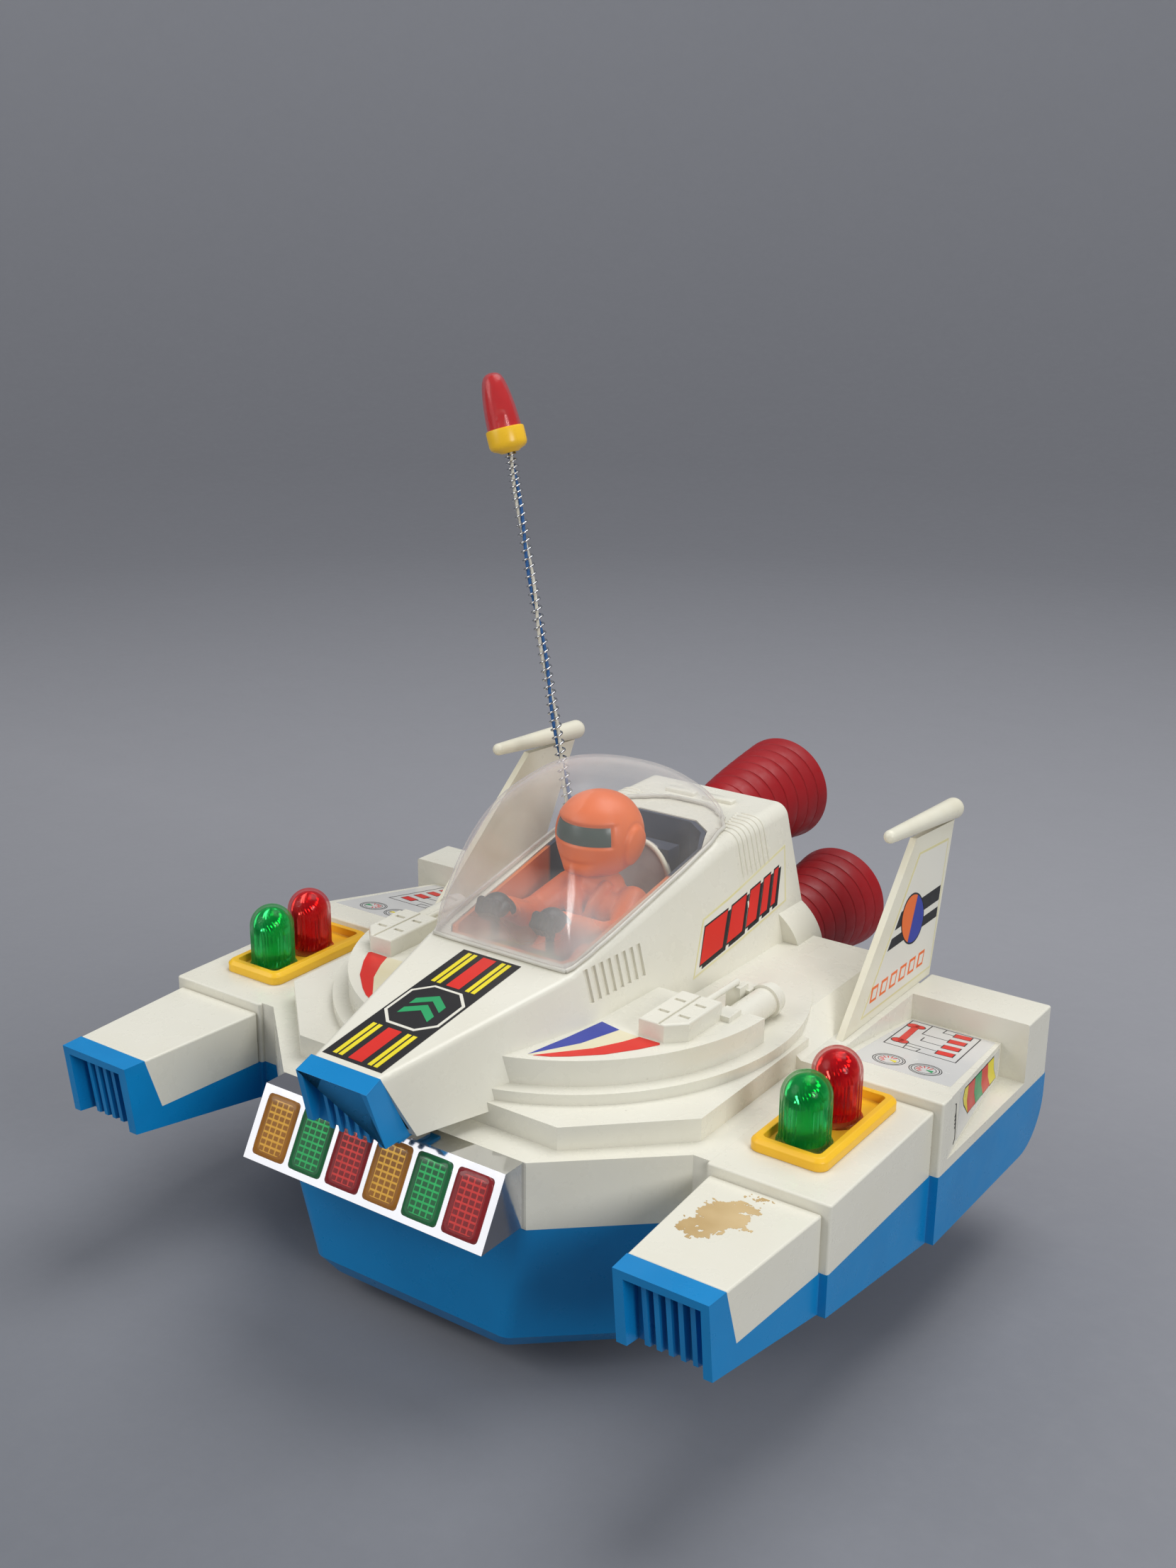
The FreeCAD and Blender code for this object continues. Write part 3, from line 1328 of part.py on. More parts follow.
def drive_pod():
    """Turning carrier: round floor, two forks and a bridge with the king-pin bearing."""
    floor = upright(pod_radius, pod_floor, 0, pod_y, pod_bottom_z)
    flange = upright(pod_flange_radius, pod_flange, 0, pod_y, pod_bottom_z + pod_floor)
    parts = [floor, flange]
    bridge_z = axle_z + crown_pitch + 3.2
    for sign in (-1, 1):
        inner = sign * fork_inner_x()
        outer = sign * (fork_inner_x() + fork_thickness)
        parts.append(block(min(inner, outer), max(inner, outer), pod_y - 6, pod_y + 6, pod_bottom_z + 1, bridge_z + 2))
    reach = fork_inner_x() + fork_thickness
    parts.append(block(-reach, reach, pod_y - 6, pod_y + 6, bridge_z, bridge_z + 2))
    parts.append(upright(4.5, pod_top_z - bridge_z, 0, pod_y, bridge_z))
    pod = joined(parts)
    ceiling = pod_bottom_z + pod_floor + pod_flange + 0.5
    wheel_reach = drive_wheel_radius + 1.5
    for sign in (-1, 1):
        x = sign * drive_wheel_x
        half = drive_wheel_width / 2 + 0.7
        pod = pod.cut(block(x - half, x + half, pod_y - wheel_reach, pod_y + wheel_reach, 0, ceiling))
    crown_reach = crown_pitch + 3.0
    pod = pod.cut(block(1.6, fork_inner_x() - 0.01, pod_y - crown_reach, pod_y + crown_reach, 0, ceiling))
    pod = pod.cut(block(-fork_inner_x() + 0.01, -fork_inner_x() + collar_length + 2 * skin_gap, pod_y - 4, pod_y + 4,
                        axle_z - 3.5, axle_z))
    pod = pod.cut(crosswise(axle_radius + running_gap, 60, -30, pod_y, axle_z))
    return pod.cut(upright(shaft_radius + running_gap, 30, 0, pod_y, bridge_z - 5))


def crown_gear():
    """Face gear on the drive axle, its teeth towards the king pin."""
    face = crown_face_x
    disc = crosswise(crown_pitch + 1.8, 1.8, face, pod_y, axle_z)
    disc = disc.fuse(crosswise(3.4, fork_inner_x() - 0.4 - face, face, pod_y, axle_z))
    teeth = []
    for tooth in range(crown_teeth):
        bar = block(face - 2.0, face + 0.5, pod_y - crown_tooth / 2, pod_y + crown_tooth / 2,
                    axle_z + crown_pitch - 1.8, axle_z + crown_pitch + 1.8)
        teeth.append(turned(bar, vec(0, pod_y, axle_z), X_AXIS, 360.0 * tooth / crown_teeth))
    return disc, teeth


def drive_axle():
    reach = drive_wheel_x + drive_wheel_width / 2
    rod_shape = crosswise(axle_radius, 2 * reach, -reach, pod_y, axle_z)
    disc, teeth = crown_gear()
    collar = crosswise(3.0, collar_length, -fork_inner_x() + skin_gap, pod_y, axle_z)
    return joined([rod_shape, disc, collar] + teeth)


def wheel_pair(x, y, z, radius, width, spindle):
    """Two wheel hubs on one axle, with a rim groove for the tyre."""
    hubs = []
    for sign in (-1, 1):
        start = sign * x - width / 2
        hub = crosswise(radius - tyre_thickness, width, start, y, z)
        recess_start = start + width - 2.0 if sign > 0 else start - 1.0
        dish = crosswise(radius - tyre_thickness - 1.8, 3.0, recess_start, y, z)
        nave = crosswise(3.2, width, start, y, z)
        hub = hub.cut(dish).fuse(nave).removeSplitter()
        hubs.append(hub.cut(crosswise(spindle, width + 2, start - 1, y, z)))
    return Part.makeCompound(hubs)


def tyre_pair(x, y, z, radius, width):
    tyres = []
    for sign in (-1, 1):
        start = sign * x - width / 2 + 0.4
        band = crosswise(radius, width - 0.8, start, y, z)
        tyres.append(band.cut(crosswise(radius - tyre_thickness, width, start - 0.1, y, z)))
    return Part.makeCompound(tyres)


def drive_shaft():
    """Vertical shaft with the large gear above and the king-pin pinion below."""
    low = axle_z + crown_pitch - 2.6
    gear = spur_gear(gear_module, wheel_teeth, gear_face, 0.0)
    gear.translate(vec(0, pod_y, second_mesh_z))
    pinion = spur_gear(crown_module, crown_pinion_teeth, 5.0, 180.0 / crown_pinion_teeth)
    pinion.translate(vec(0, pod_y, axle_z + crown_pitch - 2.4))
    spindle = upright(shaft_radius, gearbox_top_z + plate_thickness - low, 0, pod_y, low)
    return joined([gear, pinion, spindle])


def compound_gear():
    low = gearbox_z
    large = spur_gear(gear_module, wheel_teeth, gear_face, 90.0 % (360.0 / wheel_teeth))
    large.translate(vec(compound_x, pod_y, first_mesh_z))
    small = spur_gear(gear_module, pinion_teeth, gear_face + 1.6, 180.0 / pinion_teeth)
    small.translate(vec(compound_x, pod_y, first_mesh_z + gear_face))
    spindle = upright(shaft_radius, gearbox_top_z + plate_thickness - low, compound_x, pod_y, low)
    return joined([large, small, spindle])


def motor_pinion():
    gear = spur_gear(gear_module, pinion_teeth, gear_face, 0.0)
    gear.translate(vec(compound_x, motor_y, first_mesh_z))
    spindle = upright(shaft_radius, gearbox_top_z + plate_thickness + 4 - first_mesh_z, compound_x, motor_y,
                      first_mesh_z)
    return joined([gear, spindle])


def drive_motor():
    low = gearbox_top_z + plate_thickness
    can = upright(motor_radius, motor_length, compound_x, motor_y, low)
    end = upright(4.0, 3.0, compound_x, motor_y, low + motor_length - 1)
    lugs = [block(compound_x - 8, compound_x - 5, motor_y - 1, motor_y + 1, low + motor_length - 1,
                  low + motor_length + 4),
            block(compound_x + 5, compound_x + 8, motor_y - 1, motor_y + 1, low + motor_length - 1,
                  low + motor_length + 4)]
    motor = joined([can, end] + lugs)
    return motor.cut(upright(shaft_radius + running_gap, 5, compound_x, motor_y, low - 1))


def gearbox_plate(low):
    plate = upright(gearbox_radius, plate_thickness, 0, pod_y, low)
    return plate.common(block(-60, 60, pod_y - 60, battery_y - cell_length / 2 - contact_length - wall - 2, 0, 200))


def gearbox_holes():
    holes = [upright(shaft_radius + running_gap, 60, 0, pod_y, gearbox_z - 20)]
    holes.append(upright(shaft_radius + running_gap, 60, compound_x, pod_y, gearbox_z - 20))
    return holes


def gearbox_base():
    base = gearbox_plate(gearbox_z)
    for hole in gearbox_holes():
        base = base.cut(hole)
    return base


def gearbox_cover():
    cover = gearbox_plate(gearbox_top_z)
    parts = [cover]
    for angle in post_angles:
        x = post_circle * math.cos(math.radians(angle))
        y = pod_y + post_circle * math.sin(math.radians(angle))
        parts.append(upright(post_radius, gearbox_height, x, y, gearbox_z + plate_thickness))
    cover = joined(parts)
    for hole in gearbox_holes():
        cover = cover.cut(hole)
    return cover.cut(upright(shaft_radius + running_gap + 0.5, 30, compound_x, motor_y, gearbox_top_z - 5))


def rear_axle():
    reach = rear_wheel_x + rear_wheel_width / 2
    return crosswise(axle_radius, 2 * reach, -reach, rear_axle_y, rear_axle_z)


# ================================================================== power and fasteners
def battery_door():
    lower = block(-door_half, door_half, door_front_y, door_front_y + door_length, ride_height,
                  ride_height + door_thickness - 0.2)
    tongue = block(-door_half - door_tongue, door_half + door_tongue, door_front_y, door_front_y + door_length,
                   ride_height + door_thickness / 2, ride_height + door_thickness - 0.2)
    door = joined([lower, tongue])
    for index in range(4):
        y = door_front_y + door_length - 6 - 3 * index
        door = door.cut(block(-12, 12, y - 0.8, y + 0.8, ride_height - 1, ride_height + 0.6))
    return door


def cell_places():
    return [(index - (cell_count - 1) / 2) * 2 * (cell_radius + 0.15) for index in range(cell_count)]


def cell_axis_z():
    return ride_height + door_thickness + cell_radius + 0.3


def battery_cells():
    cells = []
    for x in cell_places():
        body = lengthwise(cell_radius, cell_length - 2, x, battery_y - cell_length / 2, cell_axis_z())
        nub = lengthwise(3.0, 2.0, x, battery_y + cell_length / 2 - 2, cell_axis_z())
        cells.append(joined([body, nub]))
    return Part.makeCompound(cells)


def battery_contacts():
    """Bent spring plates at both ends of the battery bay."""
    plates = []
    for x in cell_places():
        for sign in (-1, 1):
            near = battery_y + sign * cell_length / 2
            far = battery_y + sign * (cell_length / 2 + contact_length)
            y = (near, far) if sign > 0 else (far, near)
            plates.append(block(x - 6, x + 6, y[0] if sign < 0 else y[1] - 0.8, y[0] + 0.8 if sign < 0 else y[1],
                                cell_axis_z() - 8, cell_axis_z() + 8))
            plates.append(lengthwise(3.0, contact_length, x, y[0], cell_axis_z()))
    plates = [joined([plates[index], plates[index + 1]]) for index in range(0, len(plates), 2)]
    return Part.makeCompound(plates)


def power_switch():
    low = ride_height - 1.5
    lever = block(switch_x - 2.5, switch_x + 2.5, switch_y - 2.5, switch_y + 2.5, low, hull_inner_z + 0.3)
    head = block(switch_x - 5, switch_x + 5, switch_y - 5, switch_y + 5, hull_inner_z + skin_gap, hull_inner_z + 3)
    return joined([lever, head])


def switch_case():
    """Sliding-contact housing over the switch lever."""
    low = hull_inner_z
    room_x = (switch_x - 5 - skin_gap, switch_x + 5 + switch_travel + skin_gap)
    outer = block(room_x[0] - 1.5, room_x[1] + 1.5, switch_y - 7, switch_y + 7, low, low + 6)
    room = block(room_x[0], room_x[1], switch_y - 5 - skin_gap, switch_y + 5 + skin_gap, low - 1, low + 3 + skin_gap)
    return outer.cut(room)


def circuit_board():
    board = block(board_x - 11, board_x + 11, board_y - 14, board_y + 14, hull_inner_z + 3, hull_inner_z + 4.6)
    feet = [upright(1.8, 3.0, board_x + dx, board_y + dy, hull_inner_z) for dx in (-8, 8) for dy in (-11, 11)]
    chip = block(board_x - 4, board_x + 4, board_y - 3, board_y + 5, hull_inner_z + 4.6, hull_inner_z + 7)
    can = upright(3.0, 8.0, board_x + 6, board_y - 8, hull_inner_z + 4.6)
    return joined([board, chip, can] + feet)


def speaker():
    low = hull_inner_z
    ring_part = upright(speaker_radius, 2.0, speaker_x, speaker_y, low)
    basket = Part.makeCone(speaker_radius - 1, 7.0, speaker_depth - 2, vec(speaker_x, speaker_y, low + 2), Z_AXIS)
    magnet = upright(8.0, 4.0, speaker_x, speaker_y, low + speaker_depth)
    shape = joined([ring_part, basket, magnet])
    return shape.cut(upright(speaker_radius - 4, 1.2, speaker_x, speaker_y, low - 0.01))


def case_screws():
    screws = []
    for x, y in screw_places():
        head = upright(screw_head_radius, 2.0, x, y, screw_seat_z - 2.0)
        shank = upright(screw_radius, column_z + 12 - screw_seat_z, x, y, screw_seat_z)
        screws.append(joined([head, shank]))
    return Part.makeCompound(screws)


# ================================================================== build everything
def side_named(prefix, shape):
    export(prefix + "_right", shape)
    export(prefix + "_left", mirrored(shape))


def build():
    os.makedirs("parts", exist_ok=True)
    export("upper_shell", upper_shell())
    export("lower_hull", lower_hull())
    export("nose_cap", nose_cap())
    export("light_bar_housing", light_bar_housing())
    for index, colour in enumerate(("amber", "green", "red")):
        export("light_bar_lenses_" + colour, bar_lenses(index))
    export("light_bar_bulbs", bar_bulbs())
    side_named("dome_tray", dome_tray())
    for y, colour in lamp_places():
        side_named("dome_" + colour, dome(y))
    export("dome_lamp_bulbs", lamp_bulb_set())
    export("dome_lamp_sockets", lamp_socket_set())
    export("canopy", canopy())
    export("cockpit_tub", cockpit_tub())
    export("driver_figure", driver_figure())
    export("driver_helmet", driver_helmet())
    export("driver_visor", visor_tool(helmet_radius - 1.5, helmet_radius - 0.2))
    export("driver_gloves", driver_gloves())
    export("control_sticks", control_sticks())
    for name, (x, z) in nozzle_places().items():
        export("nozzle_" + name, nozzle(x, z))
    side_named("fin", fin())
    export("antenna_base", antenna_base())
    for index, name in enumerate(("lower", "middle", "upper")):
        export("antenna_spring_" + name, antenna_spring(index))
        export("antenna_leads_" + name, antenna_leads(index))
    export("antenna_lamp_cap", antenna_lamp_cap())
    export("antenna_lamp_lens", antenna_lamp_lens())
    export("antenna_lamp_bulb", antenna_lamp_bulb())
    export("drive_pod", drive_pod())
    export("drive_axle_gear", drive_axle())
    export("drive_wheels", wheel_pair(drive_wheel_x, pod_y, axle_z, drive_wheel_radius, drive_wheel_width, axle_radius))
    export("drive_tyres", tyre_pair(drive_wheel_x, pod_y, axle_z, drive_wheel_radius, drive_wheel_width))
    export("drive_shaft_gear", drive_shaft())
    export("compound_gear", compound_gear())
    export("motor_pinion", motor_pinion())
    export("drive_motor", drive_motor())
    export("gearbox_base", gearbox_base())
    export("gearbox_cover", gearbox_cover())
    export("rear_axle", rear_axle())
    export("rear_wheels", wheel_pair(rear_wheel_x, rear_axle_y, rear_axle_z, rear_wheel_radius, rear_wheel_width,
                                     axle_radius))
    export("rear_tyres", tyre_pair(rear_wheel_x, rear_axle_y, rear_axle_z, rear_wheel_radius, rear_wheel_width))
    export("battery_door", battery_door())
    export("battery_cells", battery_cells())
    export("battery_contacts", battery_contacts())
    export("power_switch", power_switch())
    export("switch_case", switch_case())
    export("circuit_board", circuit_board())
    export("speaker", speaker())
    export("case_screws", case_screws())


build()
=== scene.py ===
"""Looks of the toy patrol spacecraft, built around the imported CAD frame.

Millimetres are used for sizes written here and turned into metres by MM.  Places come from the frame's own nodes.
"""
import json
import math
from contextlib import contextmanager

import bmesh
import bpy
from mathutils import Matrix, Vector
from mathutils import noise as mnoise
from mathutils.bvhtree import BVHTree


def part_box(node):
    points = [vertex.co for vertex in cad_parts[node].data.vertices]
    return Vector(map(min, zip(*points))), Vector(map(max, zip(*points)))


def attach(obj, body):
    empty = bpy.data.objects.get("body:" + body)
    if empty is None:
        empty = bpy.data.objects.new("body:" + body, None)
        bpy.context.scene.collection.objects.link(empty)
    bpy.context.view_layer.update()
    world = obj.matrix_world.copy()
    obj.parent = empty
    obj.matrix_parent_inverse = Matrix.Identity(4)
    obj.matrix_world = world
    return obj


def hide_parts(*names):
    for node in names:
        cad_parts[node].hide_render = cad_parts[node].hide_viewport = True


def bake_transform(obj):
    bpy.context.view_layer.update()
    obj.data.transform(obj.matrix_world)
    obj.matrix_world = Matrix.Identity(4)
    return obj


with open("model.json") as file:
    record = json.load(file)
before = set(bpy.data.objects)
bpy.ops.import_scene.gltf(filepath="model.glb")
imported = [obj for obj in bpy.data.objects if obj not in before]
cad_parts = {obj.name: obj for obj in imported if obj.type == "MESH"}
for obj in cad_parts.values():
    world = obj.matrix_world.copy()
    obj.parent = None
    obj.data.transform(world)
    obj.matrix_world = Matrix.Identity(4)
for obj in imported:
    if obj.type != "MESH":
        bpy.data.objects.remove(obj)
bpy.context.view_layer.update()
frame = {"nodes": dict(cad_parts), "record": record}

MM = 0.001
NODES = frame["nodes"]
SCENE = bpy.context.scene


# ------------------------------------------------------------------ camera and studio
def make_camera():
    """Camera at the photograph's viewing angle: heading and dip in degrees, place in millimetres."""
    heading, dip, roll = math.radians(34.95), math.radians(18.13), math.radians(0.59)
    ahead = Vector((-math.sin(heading) * math.cos(dip), math.cos(heading) * math.cos(dip), -math.sin(dip)))
    right = Vector((math.cos(heading), math.sin(heading), 0))
    down = ahead.cross(right)
    across = right * math.cos(roll) - down * math.sin(roll)
    up = -(right * math.sin(roll) + down * math.cos(roll))
    data = bpy.data.cameras.new("camera")
    data.lens = 41.12
    data.sensor_width = 36.0
    data.clip_start = 0.01
    camera = bpy.data.objects.new("camera", data)
    SCENE.collection.objects.link(camera)
    turn = Matrix((across, up, -ahead)).transposed().to_4x4()
    camera.matrix_world = Matrix.Translation(Vector((363.5, -524.3, 387.0)) * MM) @ turn
    SCENE.camera = camera


def area_light(name, place, target, size, power, colour=(1, 1, 1)):
    data = bpy.data.lights.new(name, "AREA")
    data.shape = "DISK"
    data.size = size
    data.energy = power
    data.color = colour
    lamp = bpy.data.objects.new(name, data)
    lamp.location = place
    lamp.rotation_euler = (Vector(target) - Vector(place)).to_track_quat("-Z", "Y").to_euler()
    SCENE.collection.objects.link(lamp)


def make_studio():
    world = bpy.data.worlds.new("studio")
    world.use_nodes = True
    world.node_tree.nodes["Background"].inputs["Color"].default_value = (0.80, 0.84, 0.92, 1)
    world.node_tree.nodes["Background"].inputs["Strength"].default_value = 0.33
    SCENE.world = world
    SCENE.view_settings.view_transform = "Standard"
    area_light("key", (-0.80, -0.95, 0.95), (0, 0, 0.08), 1.0, 7.8, (1.0, 0.985, 0.96))
    area_light("low_front", (-0.62, -1.05, 0.40), (0, -0.1, 0.08), 0.6, 0.90)
    area_light("side", (1.35, -0.55, 0.75), (0, 0, 0.08), 0.7, 11.5)
    area_light("top", (0.15, 0.45, 1.5), (0, 0, 0.08), 1.1, 13.0)


# ------------------------------------------------------------------ materials
def new_material(name):
    material = bpy.data.materials.new(name)
    material.use_nodes = True
    tree = material.node_tree
    return material, tree, tree.nodes["Principled BSDF"]


def coordinates(tree):
    return tree.nodes.new("ShaderNodeTexCoord").outputs["Object"]


def feed(tree, value, socket):
    """Links a socket to another, or sets it to a number or a colour."""
    if isinstance(value, bpy.types.NodeSocket):
        tree.links.new(value, socket)
    else:
        socket.default_value = (*value, 1) if isinstance(value, tuple) else value


def set_values(shader, values):
    for name, value in values.items():
        shader.inputs[name].default_value = value


def noise(tree, coords, scale, detail=3.0, rough=0.5):
    made = tree.nodes.new("ShaderNodeTexNoise")
    made.inputs["Scale"].default_value = scale
    made.inputs["Detail"].default_value = detail
    made.inputs["Roughness"].default_value = rough
    tree.links.new(coords, made.inputs["Vector"])
    return made.outputs["Fac"]


def ramp(tree, source, stops):
    """Colour ramp from (place, grey or colour) stops."""
    made = tree.nodes.new("ShaderNodeValToRGB")
    elements = made.color_ramp.elements
    while len(elements) < len(stops):
        elements.new(0.5)
    for element, (place, colour) in zip(elements, stops):
        element.position = place
        if not isinstance(colour, tuple):
            colour = (colour, colour, colour)
        element.color = (*colour, 1)
    tree.links.new(source, made.inputs["Fac"])
    return made.outputs["Color"]


def mixed(tree, factor, first, second, how="MIX"):
    """Mix of two colours, each a socket or a plain colour."""
    made = tree.nodes.new("ShaderNodeMix")
    made.data_type = "RGBA"
    made.blend_type = how
    for value, place in ((factor, 0), (first, 6), (second, 7)):
        feed(tree, value, made.inputs[place])
    return made.outputs[2]


def reckoned(tree, how, first, second):
    """One step of arithmetic; a sum stays at or below 1."""
    made = tree.nodes.new("ShaderNodeMath")
    made.operation = how
    made.use_clamp = how == "ADD"
    feed(tree, first, made.inputs[0])
    feed(tree, second, made.inputs[1])
    return made.outputs[0]


def share_along(tree, coords, axis, start, end):
    """0 at one place along an axis and 1 at another, in metres."""
    parts = tree.nodes.new("ShaderNodeSeparateXYZ")
    tree.links.new(coords, parts.inputs["Vector"])
    made = tree.nodes.new("ShaderNodeMapRange")
    made.inputs["From Min"].default_value = start
    made.inputs["From Max"].default_value = end
    tree.links.new(parts.outputs[axis], made.inputs["Value"])
    return made.outputs["Result"]


def facing(tree, stops):
    """Ramp from a surface seen square on, 0, to one seen edge on, 1."""
    edge = tree.nodes.new("ShaderNodeLayerWeight")
    edge.inputs["Blend"].default_value = 0.5
    return ramp(tree, edge.outputs["Facing"], stops)


def dimple(tree, shader, height, strength, depth):
    bump = tree.nodes.new("ShaderNodeBump")
    bump.inputs["Strength"].default_value = strength
    bump.inputs["Distance"].default_value = depth * MM
    tree.links.new(height, bump.inputs["Height"])
    tree.links.new(bump.outputs["Normal"], shader.inputs["Normal"])


def plastic(name, colour, shade=None, roughness=0.28, specks=0.0, grime_and_shade=0.0, peel=0.02, coat=0.0):
    """Moulded plastic: uneven colour and gloss, faint orange peel, dirt specks, and painted shade with a grime tint
    that darkens its corners and hollows.
    """
    material, tree, shader = new_material(name)
    coords = coordinates(tree)
    shade = shade or tuple(c * 0.86 for c in colour)
    patches = noise(tree, coords, 28.0, 4.0)
    colours = mixed(tree, ramp(tree, patches, [(0.42, 0.0), (0.72, 1.0)]), colour, shade)
    if specks:
        cells = tree.nodes.new("ShaderNodeTexVoronoi")
        cells.inputs["Scale"].default_value = 140.0
        tree.links.new(coords, cells.inputs["Vector"])
        dots = ramp(tree, cells.outputs["Distance"], [(0.035, 1.0), (0.075, 0.0)])
        sparse = ramp(tree, noise(tree, coords, 45.0, 1.0), [(0.60, 0.0), (0.64, 1.0)])
        amount = reckoned(tree, "MULTIPLY", reckoned(tree, "MULTIPLY", dots, sparse), specks)
        colours = mixed(tree, amount, colours, (0.16, 0.11, 0.06))
    if grime_and_shade:
        # Painted shade with a brown grime tint: the colour darkens where ambient occlusion finds corners and hollows.
        hollow = tree.nodes.new("ShaderNodeAmbientOcclusion")
        hollow.samples = 6
        hollow.inputs["Distance"].default_value = 3.0 * MM
        grime_and_shade_mask = ramp(tree, hollow.outputs["AO"], [(0.25, grime_and_shade), (0.75, 0.0)])
        colours = mixed(tree, grime_and_shade_mask, colours, (0.30, 0.25, 0.17))
    tree.links.new(colours, shader.inputs["Base Color"])
    gloss = ramp(tree, noise(tree, coords, 90.0, 5.0, 0.6), [(0.3, roughness * 0.8), (0.75, roughness * 1.35)])
    tree.links.new(gloss, shader.inputs["Roughness"])
    dimple(tree, shader, noise(tree, coords, 420.0, 2.0), peel, 0.3)
    set_values(shader, {"IOR": 1.5, "Specular IOR Level": 0.34, "Coat Weight": coat})
    return material


def mottled(name, colour, shade, grain, gloss, dimples):
    """A shader with a mottled colour, an uneven gloss and fine dimples.

    grain is the mottling's scale and detail, gloss its scale and two ramp stops, dimples a scale, strength and depth.
    """
    material, tree, shader = new_material(name)
    coords = coordinates(tree)
    tree.links.new(mixed(tree, noise(tree, coords, *grain), colour, tuple(c * shade for c in colour)),
                   shader.inputs["Base Color"])
    scale, *stops = gloss
    tree.links.new(ramp(tree, noise(tree, coords, scale, 6.0, 0.7), stops), shader.inputs["Roughness"])
    scale, strength, depth = dimples
    dimple(tree, shader, noise(tree, coords, scale, 2.0), strength, depth)
    return material, tree, shader


def glass(name, colour, roughness):
    """Lamp glass that light passes through."""
    material, tree, shader = mottled(name, colour, 0.82, (60.0, 2.0),
                                     (160.0, (0.35, roughness * 0.7), (0.8, roughness * 1.6)), (220.0, 0.04, 0.2))
    set_values(shader, {"Transmission Weight": 0.95, "IOR": 1.49})
    return material


def sheer_parts(name, colour, alpha, roughness, coat, shade=0.75):
    """Thin coloured or clear moulding: light passes, and the skin keeps its gloss."""
    made = mottled(name, colour, shade, (55.0, 3.0), (150.0, (0.35, roughness * 0.7), (0.8, roughness * 1.7)),
                   (200.0, 0.03, 0.2))
    set_values(made[2], {"Coat Weight": coat, "Coat Roughness": 0.03, "IOR": 1.5, "Specular IOR Level": 0.36,
                         "Alpha": alpha})
    return made


def sheer(name, colour, alpha, roughness, coat=0.4, edge_alpha=None):
    """Thin moulding, denser where it is seen edge on if edge_alpha is given."""
    material, tree, shader = sheer_parts(name, colour, alpha, roughness, coat)
    if edge_alpha:
        tree.links.new(facing(tree, [(0.35, alpha), (0.9, edge_alpha)]), shader.inputs["Alpha"])
    return material


def clear_shell(name, colour, haze):
    """Clear glazing: it shows where it is seen edge on, and in the worn haze along its foot and front."""
    material, tree, shader = sheer_parts(name, colour, 1.0, 0.14, 0.0, 0.96)
    coords = coordinates(tree)
    glaze = facing(tree, [(0.0, 0.03), (0.45, 0.05), (0.72, 0.16), (0.95, 0.60)])
    worn = ramp(tree, noise(tree, coords, 16.0, 5.0, 0.6), [(0.42, 0.0), (0.85, haze)])
    foot = share_along(tree, coords, "Z", 0.164, 0.128)
    front = share_along(tree, coords, "Y", 0.004, -0.052)
    streaks = ramp(tree, noise(tree, coords, 34.0, 2.0), [(0.30, 0.30), (0.66, 1.0)])
    mist = reckoned(tree, "MULTIPLY", reckoned(tree, "MULTIPLY", foot, front), streaks)
    total = reckoned(tree, "ADD", reckoned(tree, "ADD", glaze, worn), reckoned(tree, "MULTIPLY", mist, 0.60))
    tree.links.new(total, shader.inputs["Alpha"])
    shader.inputs["Metallic"].default_value = 0.10
    return material


def cockpit_lining(name):
    """The cockpit's dark moulding, with a painted orange reflection of the driver's suit in front of the seat and
    near black behind it.
    """
    material = plastic(name, (0.028, 0.035, 0.055), None, 0.45)
    tree = material.node_tree
    place = share_along(tree, coordinates(tree), "Y", 0.008, 0.010)
    # Painted reflection: orange in front of the seat, near black behind it.
    tree.links.new(mixed(tree, place, (0.62, 0.17, 0.05), (0.035, 0.045, 0.075)),
                   tree.nodes["Principled BSDF"].inputs["Base Color"])
    return material


def metal(name, colour, roughness, scale=300.0):
    """Metal or plating with fine rubbing marks."""
    material, tree, shader = mottled(name, colour, 0.8, (40.0,),
                                     (scale, (0.3, roughness * 0.6), (0.8, roughness * 1.8)), (scale * 2, 0.03, 0.1))
    shader.inputs["Metallic"].default_value = 1.0
    return material


# The grime setting paints shade, tinted like grime, into each plastic's corners and hollows.
WORN_PLASTICS = {      # colour, its shade in patches, roughness, and what else sets it apart
    "white_shell": ((0.765, 0.745, 0.645), (0.745, 0.72, 0.61), 0.27, {"specks": 0.25, "grime_and_shade": 0.14}),
    "blue_hull": ((0.005, 0.235, 0.56), (0.004, 0.205, 0.50), 0.30, {"specks": 0.10, "grime_and_shade": 0.12}),
    "yellow_plastic": ((0.93, 0.55, 0.03), (0.90, 0.46, 0.02), 0.30, {"specks": 0.1, "grime_and_shade": 0.25}),
    "orange_suit": ((0.82, 0.155, 0.018), (0.76, 0.13, 0.016), 0.36, {"grime_and_shade": 0.2}),
    "cream_plastic": ((0.79, 0.76, 0.62), (0.72, 0.67, 0.50), 0.32, {"specks": 0.3, "grime_and_shade": 0.3}),
    "tyre": ((0.022, 0.022, 0.023), None, 0.72, {"peel": 0.3}),
    "decal_cream": ((0.76, 0.71, 0.52), (0.70, 0.62, 0.38), 0.36, {}),
    "decal_white": ((0.775, 0.755, 0.665), (0.755, 0.73, 0.62), 0.34, {}),
    "decal_silver": ((0.68, 0.675, 0.65), (0.63, 0.625, 0.60), 0.22, {"coat": 0.3}),
    "decal_yellowed": ((0.72, 0.66, 0.36), (0.74, 0.70, 0.48), 0.36, {}),
    "seat_grey": ((0.42, 0.39, 0.37), (0.36, 0.33, 0.32), 0.28, {}),
    "glue_tan": ((0.42, 0.27, 0.10), (0.62, 0.46, 0.24), 0.6, {}),
}
